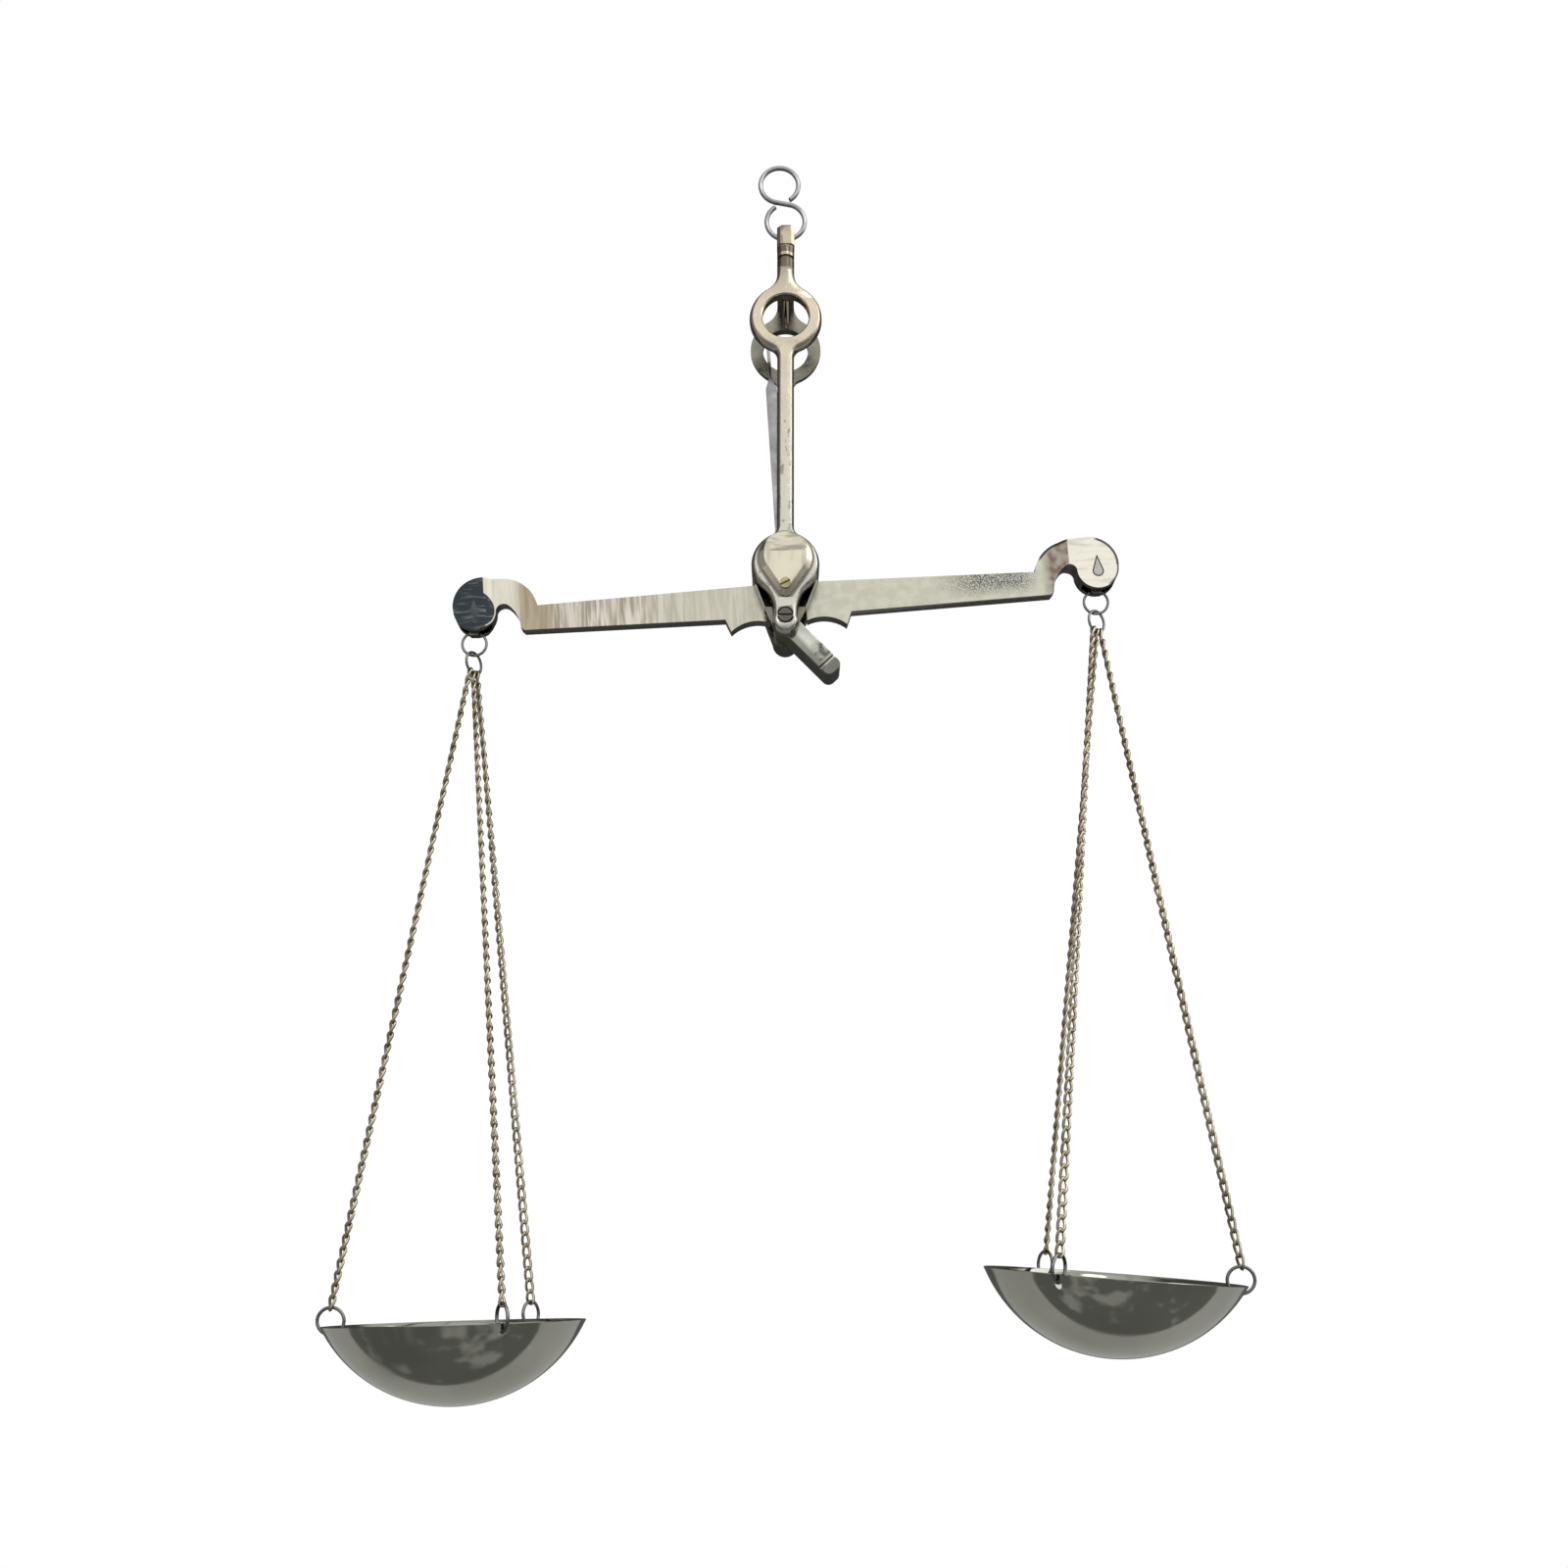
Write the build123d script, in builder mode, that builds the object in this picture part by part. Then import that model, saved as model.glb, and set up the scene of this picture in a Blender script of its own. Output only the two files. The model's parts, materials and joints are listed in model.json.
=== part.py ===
from build123d import *
import os
from math import acos, asin, atan2, ceil, cos, degrees, hypot, pi, radians, sin, sqrt

# A hand held diamond scale: two round pans hang by chains from the ends of a beam, which
# rocks on a knife edge inside a tall two sided fork, and the fork hangs from a wire hook.
# Millimetres. The origin is the middle of the upper loop of the hook. X runs along the
# beam to the right, Y away from the front face, Z up.

# Layout
hook_step = 1.6              # the load hangs this far to the right of the upper loop
arm_length = 76.2            # centre knife edge to each end knife edge
knife_rise = 1.45            # centre edge above the line through the two end edges
beam_tilt = 4.1              # the beam rests with its left end low, in degrees
running_gap = 0.03           # between an edge or pin and what it runs in
seat_gap = 0.02              # between round pieces that are pressed together

# Wire hook
hook_wire = 0.95             # wire diameter
upper_loop_radius = 4.9      # to the middle of the wire
lower_loop_radius = 4.75
hook_drop = 10.1             # upper loop centre down to the lower loop centre
upper_loop_turn = 305.0      # degrees of wire round each loop
lower_loop_turn = 305.0
hook_sides = 6               # flats on the wire's section

# Swivel stud
head_width = 4.4
head_height = 5.9
head_bevel = 0.9
head_side_bevel = 0.8
head_foot_bevel = 0.3
head_above_wire = 2.95       # top of the head above the wire that carries it
eye_radius = 1.15            # the hook's wire runs through this hole
neck_radius = 2.15
neck_length = 9.27           # from the foot of the head down to the crown
groove_depth = 0.4
groove_width = 0.7
spindle_radius = 0.85
spindle_point = 1.6          # length of the pointed tip
index_gap = 1.3              # spindle tip above the pointer's tip
collar_radius = 1.9
collar_height = 1.7

# Fork
fork_half_depth = 8.5        # middle of the scale to the outer face of a cheek
cheek_thickness = 2.4
edge_bevel = 0.8
window_bevel = 0.3
inner_gap = 1.9              # middle of the scale to the inner face of a pear boss
window_rise = 64.0           # pivot up to the centre of the round window
ring_radius = 8.9
window_radius = 5.75
crown_rise = 78.2            # pivot up to the top of the crown
crown_thickness = 3.0
crown_bend = 2.2             # radius over which a cheek turns in to the crown
neck_width = 4.2
shank_width = 4.1
pear_radius = 8.2
lobe_radius = 3.15
lobe_drop = 14.4             # pivot down to the centre of the lower round
screw_drop = 13.3            # pivot down to the lever screw
neck_fillet = 5.0            # where the neck runs into the top of the ring

# Bearings
bearing_radius = 3.4
bearing_wall = 0.8
bearing_rise = 2.2           # centre of the bearing above the edge that it carries
bearing_length = 6.2
vee_angle = 90.0             # of every seat that a knife edge rests in

# Caps and screws
cap_radius = 5.8
cap_rise = 1.0               # cap centre above the pivot
cap_lower_radius = 2.3
cap_spacing = 7.6            # between the two rounds of the cap
cap_skirt = 0.5
cap_dome = 1.3
cap_slope = 30.0             # degrees of taper on the cap's flanks
cap_screw_drop = 6.3
cap_screw_head = 1.35
cap_screw_shank = 0.7
cap_screw_reach = 3.5        # screw length in the cheek
lever_screw_head = 1.7
lever_screw_seat = 2.05      # radius of the hollow that the head is sunk in
lever_screw_sink = 1.1
lever_screw_shank = 1.0
screw_head_height = 1.0
screw_sink = 0.5             # depth of the seat that a head sits in
slot_width = 0.45
slot_depth = 0.45
cap_slot_turn = 27.0         # the cap screw's slot stands at this angle

# Lever
lever_angle = -46.0          # arm direction at rest, in degrees from the right
lever_room = 5.1             # middle of the scale to the front lobe, which it turns behind
lever_hub_radius = 2.9
lever_hub_room = 0.5         # between the hub and the front cheek's box above it
lever_half_width = 2.4
lever_reach = 17.6
lever_tip_fillet = 1.8
lever_groove_at = 14.6       # a finger groove crosses the front face here
lever_groove_width = 0.9
lever_groove_depth = 0.5

# Beam, heights above or below the line through the end edges
bar_thickness = 3.0
box_thickness = 5.2          # the slotted boxes at the ends
bar_top_middle = -0.6
bar_top_end = -2.1
bar_bottom_middle = -9.0
bar_bottom_end = -8.2
belly_half = 15.4            # the scalloped belly, from the middle to its step
cusp_out = 14.15
cusp_height = -12.2
scallop_out = 8.8
scallop_height = -9.9
relief_half = 4.5            # arch in the belly that clears the lever's hub
relief_foot = -10.6
relief_height = -7.6
arch_inboard = 6.7           # the swan neck's outer curve, inboard of the end edge
arch_radius = 8.6
arch_height = -3.3
crest_inboard = 2.1          # the box's outer shoulder
crest_radius = 7.3
crest_height = -1.8
disc_radius = 5.1
disc_height = -2.6
notch_inboard = 7.0          # the notch between the box and the bar
notch_height = -3.1
notch_radius = 1.95
throat_inboard = 10.45       # where the notch widens
throat_height = -4.7
corner_inboard = 11.8
corner_fillet = 0.8
left_step = (2.4, 4.3)       # the box thins to the bar between these, inboard of the edge
right_step = (6.8, 8.9)
slot_half_width = 3.8       # slot for the stirrup, along the beam
slot_half_gap = 1.2
slot_height = 1.6            # above the edge
hub_radius = 6.0
hub_rise = 1.8

# Knives
knife_width = 2.2
knife_height = 4.5
centre_knife_length = 15.4

# Pointer, measured from the centre edge
pointer_thickness = 1.2
pointer_root_width = 3.4
pointer_blade_width = 2.7
pointer_blade_top = 52.4
needle_width = 0.8
pointer_tip = 64.2
pointer_seat = 5.4

# Stirrups
strip_thickness = 0.4
strip_half_depth = 1.0
stirrup_radius = 3.05
stirrup_centre = -2.0        # centre of its round head, below the edge
stirrup_hole_radius = 2.6
stirrup_hole_centre = -2.5
stirrup_shoulder = 30.0      # degrees below the level where the round head turns in
stirrup_foot = 8.0           # seat of the link ring, below the edge
stirrup_foot_half = 1.0

# Rings
ring_wire = 0.65
link_ring_radius = 2.95      # to the middle of the wire
gather_ring_radius = 2.675
left_gather_turn = 60.0      # turn of each gathering ring about the vertical, in degrees
right_gather_turn = 37.0
rim_ring_wire = 0.8
rim_ring_radius = 3.1
ring_stations = 16           # flats round a ring
ring_sides = 6               # flats on its wire
wire_clearance = 0.03

# Chain
link_wire = 0.62
link_half_width = 0.84       # middle of the link to the middle of its side wire
link_half_length = 1.775     # middle of the link to the middle of its end bar
link_twist = 45.0            # the end bars are turned this much, one each way, in degrees
link_sides = 3
link_play = 0.04             # least slack between one link and the next
strand_spacing = 1.36        # between strands where they hang on the gathering ring

# Pans
pan_radius = 30.0
pan_depth = 19.0
left_pan_wall = 0.6263       # the heavier pan holds the beam at its resting tilt
right_pan_wall = 0.6
bowl_bands = 5               # the bowl is spun in this many narrow conical bands
pan_drop = 174.2             # end knife edge down to the middle of the rim
rim_hole_radius = 0.95
rim_hole_drop = 2.4          # below the rim
rim_hole_slack = 0.09        # between the ring's wire and the lowest point of its hole
left_lean_angle = -1.7       # slope of the rim, right side low is positive, in degrees
right_lean_angle = 4.1
left_tip_angle = 0.5         # front side low is positive, in degrees
right_tip_angle = 3.0
left_hole_angles = {"outer": 180.0, "front": -58.0, "back": 62.0}
right_hole_angles = {"outer": -6.0, "front": -126.0, "back": 114.0}

os.makedirs("parts", exist_ok=True)

# Places that follow from the layout
wire_low = -hook_drop - lower_loop_radius
head_top = wire_low + head_above_wire
head_foot = head_top - head_height
shoulder_z = head_foot - neck_length
crown_top = shoulder_z - running_gap
crown_foot = crown_top - crown_thickness
pivot_z = crown_top - crown_rise
tilt = radians(beam_tilt)
fork_view = Plane(origin=(hook_step, 0, pivot_z), x_dir=(1, 0, 0), z_dir=(0, -1, 0))
beam_view = Plane(
    origin=(hook_step + knife_rise * sin(tilt), 0, pivot_z - knife_rise * cos(tilt)),
    x_dir=(cos(tilt), 0, sin(tilt)),
    z_dir=(0, -1, 0),
)


def save(part, name):
    """Label a piece and write it out."""
    part.label = name
    export_step(part, "parts/" + name + ".step")


def pear(top_radius, bottom_radius, spacing, rise=0.0):
    """Draw a large round above a small one, joined by straight sides that touch both."""
    slant = asin((top_radius - bottom_radius) / spacing)
    upper = (top_radius * cos(slant), rise - top_radius * sin(slant))
    lower = (bottom_radius * cos(slant), rise - spacing - bottom_radius * sin(slant))
    low = (0, rise - spacing - bottom_radius)
    with BuildSketch() as drawing:
        with BuildLine():
            ThreePointArc((-upper[0], upper[1]), (0, rise + top_radius), upper)
            Line(upper, lower)
            ThreePointArc(lower, low, (-lower[0], lower[1]))
            Line((-lower[0], lower[1]), (-upper[0], upper[1]))
        make_face()
    return drawing.sketch


def teardrop(edge, edge_up):
    """Draw a knife's section: a round back and two flanks that meet at the edge."""
    down = -1 if edge_up else 1
    back = knife_width / 2
    reach = knife_height - back
    flank = sqrt(reach**2 - back**2)
    side = flank * back / reach
    fall = flank**2 / reach
    x, y = edge
    with BuildSketch() as drawing:
        with BuildLine():
            Line((x, y), (x + side, y + down * fall))
            ThreePointArc(
                (x + side, y + down * fall),
                (x, y + down * knife_height),
                (x - side, y + down * fall),
            )
            Line((x - side, y + down * fall), (x, y))
        make_face()
    return drawing.sketch


def vee_seat(edge, centre, radius, edge_up):
    """Draw a round hole whose wall runs in to a vee just clear of a knife's edge."""
    down = -1 if edge_up else 1
    apex = edge - down * running_gap
    far = 2 * radius
    half = far / sin(radians(vee_angle / 2)) * sin(radians(90 - vee_angle / 2))
    with BuildSketch() as drawing:
        with Locations((0, centre)):
            Circle(radius)
        with BuildLine():
            Polyline((0, apex), (half, apex + down * far), (-half, apex + down * far), (0, apex))
        make_face(mode=Mode.INTERSECT)
    return drawing.sketch


def nearest_turn(ring, after):
    """Turn the next section so that each corner meets the one nearest to it."""
    turns = [after[start:] + after[:start] for start in range(len(after))]
    return min(turns, key=lambda turn: sum((a - b).length for a, b in zip(ring, turn)))


def facet_loop(stations, section):
    """Close a wire loop with flat facets, from one many sided section at each station."""
    rings = [[plane.from_local_coords(point) for point in section] for plane in stations]
    faces = []
    for index, ring in enumerate(rings):
        after = nearest_turn(ring, rings[(index + 1) % len(rings)])
        for side in range(len(section)):
            turn = (side + 1) % len(section)
            faces.append(Face(Wire.make_polygon([ring[side], ring[turn], after[turn]])))
            faces.append(Face(Wire.make_polygon([ring[side], after[turn], after[side]])))
    return Solid(Shell(faces))


def round_section(radius, sides):
    """Give the corners of a wire's section, the first one on the inside of the bend."""
    angles = [pi + 2 * pi * index / sides for index in range(sides)]
    return [Vector(radius * cos(angle), radius * sin(angle)) for angle in angles]


def wire_ring(centre, across, upright, radius, wire):
    """Make a round wire ring from its centre and the two directions of its plane."""
    stations = []
    for index in range(ring_stations):
        angle = 2 * pi * (index + 0.5) / ring_stations
        outward = across * cos(angle) + upright * sin(angle)
        along = upright * cos(angle) - across * sin(angle)
        stations.append(Plane(origin=centre + outward * radius, x_dir=outward, z_dir=along))
    return facet_loop(stations, round_section(wire / 2, ring_sides))


# The wire hook: an upper loop and a lower loop that cross over in a short straight
lower_centre = (hook_step, -hook_drop)
span = hypot(hook_step, hook_drop)
lean = degrees(atan2(-hook_drop, hook_step))
leave = degrees(asin((upper_loop_radius + lower_loop_radius) / span))
cross_angle = lean - (90 - leave)
with BuildPart() as s_hook:
    with BuildLine(Plane.XZ) as hook_line:
        top_loop = CenterArc((0, 0), upper_loop_radius, cross_angle, -upper_loop_turn)
        low_loop = CenterArc(lower_centre, lower_loop_radius, cross_angle + 180, -lower_loop_turn)
        Line(top_loop @ 0, low_loop @ 0)
    hook_path = hook_line.wires()[0]
    with BuildSketch(Plane(origin=hook_path @ 0, z_dir=hook_path % 0)):
        RegularPolygon(hook_wire / 2, hook_sides)
    sweep(path=hook_path)
save(s_hook.part, "s_hook")

# Swivel stud: it hangs in the lower loop by its drilled head and turns in the crown
inside_radius = lower_loop_radius - hook_wire / 2
sag = inside_radius - sqrt(inside_radius**2 - (head_width / 2) ** 2)
eye_z = wire_low + hook_wire / 2 + sag + wire_clearance - eye_radius
tip_z = pivot_z + pointer_tip + index_gap
with BuildPart() as swivel_stud:
    with BuildSketch(Plane.XY.offset(head_foot)) as head_plan:
        with Locations((hook_step, 0)):
            Rectangle(head_width, head_width)
    extrude(amount=head_height)
    chamfer(swivel_stud.edges().filter_by(Axis.Z), head_side_bevel)
    chamfer(swivel_stud.edges().group_by(Axis.Z)[-1], head_bevel)
    chamfer(swivel_stud.edges().group_by(Axis.Z)[0], head_foot_bevel)
    with BuildSketch(Plane.YZ.offset(hook_step - head_width)):
        with Locations((0, eye_z)):
            Circle(eye_radius)
    extrude(amount=2 * head_width, mode=Mode.SUBTRACT)
    stud_axis = Axis((hook_step, 0, 0), (0, 0, 1))
    with BuildSketch(Plane(origin=(hook_step, 0, 0), x_dir=(1, 0, 0), z_dir=(0, -1, 0))):
        with BuildLine():
            Polyline(
                (0, head_foot),
                (neck_radius, head_foot),
                (neck_radius, shoulder_z),
                (spindle_radius, shoulder_z),
                (spindle_radius, tip_z + spindle_point),
                (0, tip_z),
                (0, head_foot),
            )
        make_face()
        groove_room = (neck_length - 2 * groove_width) / 3
        for index in range(2):
            groove_z = head_foot - (index + 1) * groove_room - (index + 0.5) * groove_width
            with Locations((neck_radius, groove_z)):
                Rectangle(2 * groove_depth, groove_width, mode=Mode.SUBTRACT)
    revolve(axis=stud_axis)
save(swivel_stud.part, "swivel_stud")

# Collar: pressed on the spindle under the crown, it carries the fork
collar_top = crown_foot - running_gap
with BuildPart() as swivel_collar:
    with BuildSketch(Plane.XY.offset(collar_top - collar_height)):
        with Locations((hook_step, 0)):
            Circle(collar_radius)
            Circle(spindle_radius + seat_gap, mode=Mode.SUBTRACT)
    extrude(amount=collar_height)
save(swivel_collar.part, "swivel_collar")

# Crown: the block that joins the two cheeks at the top
plate_inner = fork_half_depth - cheek_thickness
with BuildPart() as fork_crown:
    with BuildSketch(Plane.XY.offset(crown_foot)):
        with Locations((hook_step, 0)):
            Rectangle(neck_width, 2 * plate_inner)
            Circle(spindle_radius + running_gap, mode=Mode.SUBTRACT)
    extrude(amount=crown_thickness)
save(fork_crown.part, "fork_crown")

# Cheeks: a flat plate with a round window, a long shank and a pear, whose box reaches
# inwards to the beam and holds the bearing
with BuildPart() as cheek:
    with BuildSketch(fork_view.offset(plate_inner)) as cheek_outline:
        with Locations((0, window_rise)):
            Circle(ring_radius)
        with Locations((0, (crown_rise + window_rise) / 2)):
            Rectangle(neck_width, crown_rise - window_rise)
        with Locations((0, window_rise / 2)):
            Rectangle(shank_width, window_rise)
        add(pear(pear_radius, lobe_radius, lobe_drop))
        above_ring = cheek_outline.vertices().filter_by(
            lambda corner: window_rise < corner.Y < crown_rise - crown_bend
        )
        fillet(above_ring, neck_fillet)
    extrude(amount=cheek_thickness)
    outer_edges = cheek.faces().sort_by(Axis.Y)[0].edges()
    chamfer(outer_edges, edge_bevel)
    with BuildSketch(fork_view.offset(inner_gap)):
        add(pear(pear_radius, lobe_radius, lobe_drop))
    extrude(amount=plate_inner - inner_gap)
    with BuildSketch(fork_view.offset(inner_gap)) as through_holes:
        with Locations((0, window_rise)):
            Circle(window_radius)
        with Locations((0, bearing_rise)):
            Circle(bearing_radius + seat_gap)
        with Locations((0, -screw_drop)):
            Circle(lever_screw_shank + seat_gap)
    extrude(amount=fork_half_depth, mode=Mode.SUBTRACT)
    with BuildSketch(fork_view.offset(fork_half_depth - lever_screw_sink)):
        with Locations((0, -screw_drop)):
            Circle(lever_screw_seat)
    extrude(amount=fork_half_depth, mode=Mode.SUBTRACT)
    with BuildSketch(fork_view.offset(fork_half_depth - cap_screw_reach)):
        with Locations((0, -cap_screw_drop)):
            Circle(cap_screw_shank + seat_gap)
    extrude(amount=fork_half_depth, mode=Mode.SUBTRACT)
    window_rim = cheek.faces().sort_by(Axis.Y)[0].edges().filter_by(
        lambda edge: edge.geom_type == GeomType.CIRCLE and edge.radius == window_radius
    )
    chamfer(window_rim, window_bevel)
    with BuildSketch(Plane.YZ.offset(hook_step)):
        bend_middle = crown_bend * (1 - sqrt(0.5))
        with BuildLine():
            Polyline(
                (-fork_half_depth, crown_top - crown_bend),
                (-fork_half_depth, crown_top - 2 * crown_rise),
                (0, crown_top - 2 * crown_rise),
                (0, crown_top),
                (crown_bend - fork_half_depth, crown_top),
            )
            ThreePointArc(
                (crown_bend - fork_half_depth, crown_top),
                (bend_middle - fork_half_depth, crown_top - bend_middle),
                (-fork_half_depth, crown_top - crown_bend),
            )
        make_face()
    extrude(amount=2 * ring_radius, both=True, mode=Mode.INTERSECT)

with BuildPart() as rear_cheek:
    mirror(cheek.part, about=Plane.XZ)
save(rear_cheek.part, "rear_cheek")

# The front cheek's box is cut away over the lever, which turns behind the front lobe
with BuildPart() as front_cheek:
    add(cheek.part)
    with BuildSketch(fork_view.offset(inner_gap)):
        with Locations((0, lever_hub_radius + lever_hub_room - screw_drop)):
            Rectangle(4 * lobe_drop, 4 * lobe_drop, align=(Align.CENTER, Align.MAX))
    extrude(amount=lever_room - inner_gap, mode=Mode.SUBTRACT)
save(front_cheek.part, "front_cheek")

# Bearings: hard rings pressed into the pears, each with a vee that the knife rocks in
bearing_outer = inner_gap + bearing_length
with BuildPart() as front_bearing:
    with BuildSketch(fork_view.offset(inner_gap)):
        with Locations((0, bearing_rise)):
            Circle(bearing_radius)
        seat = vee_seat(0, bearing_rise, bearing_radius - bearing_wall, edge_up=False)
        add(seat, mode=Mode.SUBTRACT)
    extrude(amount=bearing_length)
save(front_bearing.part, "front_bearing")

with BuildPart() as rear_bearing:
    mirror(front_bearing.part, about=Plane.XZ)
save(rear_bearing.part, "rear_bearing")

# Caps: domed covers that close the bearings from outside
cap_top = fork_half_depth + cap_skirt + cap_dome
with BuildPart() as front_cap:
    with BuildSketch(fork_view.offset(fork_half_depth)):
        add(pear(cap_radius, cap_lower_radius, cap_spacing, cap_rise))
    extrude(amount=cap_skirt)
    with BuildSketch(fork_view.offset(fork_half_depth + cap_skirt)):
        add(pear(cap_radius, cap_lower_radius, cap_spacing, cap_rise))
    extrude(amount=cap_dome, taper=cap_slope)
    with BuildSketch(fork_view.offset(cap_top - screw_sink)):
        with Locations((0, -cap_screw_drop)):
            Circle(cap_screw_head + running_gap)
    extrude(amount=cap_dome, mode=Mode.SUBTRACT)
    with BuildSketch(fork_view.offset(fork_half_depth)):
        with Locations((0, -cap_screw_drop)):
            Circle(cap_screw_shank + seat_gap)
    extrude(amount=cap_top, mode=Mode.SUBTRACT)
save(front_cap.part, "front_cap")

with BuildPart() as rear_cap:
    mirror(front_cap.part, about=Plane.XZ)
save(rear_cap.part, "rear_cap")

# Cap screws, one on each side
with BuildPart() as cap_screws:
    seat_at = cap_top - screw_sink
    with BuildSketch(fork_view.offset(fork_half_depth - cap_screw_reach)):
        with Locations((0, -cap_screw_drop)):
            Circle(cap_screw_shank)
    extrude(amount=seat_at - fork_half_depth + cap_screw_reach)
    with BuildSketch(fork_view.offset(seat_at)):
        with Locations((0, -cap_screw_drop)):
            Circle(cap_screw_head)
    extrude(amount=screw_head_height)
    with BuildSketch(fork_view.offset(seat_at + screw_head_height - slot_depth)):
        with Locations(Location((0, -cap_screw_drop, 0), (0, 0, cap_slot_turn))):
            Rectangle(4 * cap_screw_head, slot_width)
    extrude(amount=screw_head_height, mode=Mode.SUBTRACT)
    mirror(about=Plane.XZ)
save(cap_screws.part, "cap_screws")

# Lever screw: it ties the two lobes together and the lever turns on it
with BuildPart() as lever_screw:
    seat_at = fork_half_depth - lever_screw_sink
    with BuildSketch(fork_view.offset(-fork_half_depth)):
        with Locations((0, -screw_drop)):
            Circle(lever_screw_shank)
    extrude(amount=seat_at + fork_half_depth)
    with BuildSketch(fork_view.offset(seat_at)):
        with Locations((0, -screw_drop)):
            Circle(lever_screw_head)
    extrude(amount=screw_head_height)
    with BuildSketch(fork_view.offset(seat_at + screw_head_height - slot_depth)):
        with Locations((0, -screw_drop)):
            Rectangle(4 * lever_screw_head, slot_width)
    extrude(amount=screw_head_height, mode=Mode.SUBTRACT)
save(lever_screw.part, "lever_screw")

# Arrest lever: a hub on the lever screw and a thick arm with a grooved thumb end
lever_back = running_gap - inner_gap
lever_thickness = lever_room - running_gap - lever_back
swing = radians(lever_angle)
lever_view = Plane(
    origin=(hook_step, 0, pivot_z - screw_drop),
    x_dir=(cos(swing), 0, sin(swing)),
    z_dir=(0, -1, 0),
)
with BuildPart() as arrest_lever:
    with BuildSketch(lever_view.offset(lever_back)) as lever_outline:
        Rectangle(lever_reach, 2 * lever_half_width, align=(Align.MIN, Align.CENTER))
        fillet(lever_outline.vertices().group_by(Axis.X)[-1], lever_tip_fillet)
        Circle(lever_hub_radius)
        Circle(lever_screw_shank + running_gap, mode=Mode.SUBTRACT)
    extrude(amount=lever_thickness)
    with BuildSketch(lever_view.offset(lever_room - running_gap - lever_groove_depth)):
        with Locations((lever_groove_at, 0)):
            Rectangle(lever_groove_width, 4 * lever_half_width)
    extrude(amount=lever_room, mode=Mode.SUBTRACT)
save(arrest_lever.part, "arrest_lever")


def arm_outline():
    """Draw one arm of the beam, from its middle round the swan neck and box, and mirror it."""
    meet = sqrt(arch_radius**2 - (bar_top_end - arch_height) ** 2)
    arch_x = arm_length - arch_inboard
    crest_x = arm_length - crest_inboard
    notch_x = arm_length - notch_inboard
    corner_x = arm_length - corner_inboard
    slant = sqrt(0.5)
    disc_side = (arm_length - disc_radius, disc_height)
    notch_top = (notch_x, notch_height + notch_radius)
    notch_end = (notch_x - notch_radius * slant, notch_height + notch_radius * slant)
    throat = (arm_length - throat_inboard, throat_height)
    with BuildSketch() as drawing:
        with BuildLine():
            Line((0, bar_top_middle), (arch_x - meet, bar_top_end))
            ThreePointArc(
                (arch_x - meet, bar_top_end),
                (arch_x - arch_radius * slant, arch_height + arch_radius * slant),
                (arch_x, arch_height + arch_radius),
            )
            Line((arch_x, arch_height + arch_radius), (crest_x, crest_height + crest_radius))
            ThreePointArc(
                (crest_x, crest_height + crest_radius),
                (crest_x + crest_radius * slant, crest_height + crest_radius * slant),
                (crest_x + crest_radius, crest_height),
            )
            Line((crest_x + crest_radius, crest_height), (arm_length + disc_radius, disc_height))
            ThreePointArc(
                (arm_length + disc_radius, disc_height),
                (arm_length, disc_height - disc_radius),
                disc_side,
            )
            ThreePointArc(disc_side, notch_top, notch_end)
            ThreePointArc(
                notch_end,
                throat,
                (corner_x + corner_fillet, bar_bottom_end + corner_fillet),
            )
            Line(
                (corner_x + corner_fillet, bar_bottom_end + corner_fillet),
                (corner_x, bar_bottom_end),
            )
            Line((corner_x, bar_bottom_end), (belly_half, bar_bottom_middle))
            Line((belly_half, bar_bottom_middle), (cusp_out, cusp_height))
            ThreePointArc(
                (cusp_out, cusp_height),
                (scallop_out, scallop_height),
                (relief_half, relief_foot),
            )
            Line((relief_half, relief_foot), (relief_half, relief_height))
            Line((relief_half, relief_height), (0, relief_height))
            Line((0, relief_height), (0, bar_top_middle))
        make_face()
        mirror(about=Plane.YZ)
    return drawing.sketch


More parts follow.
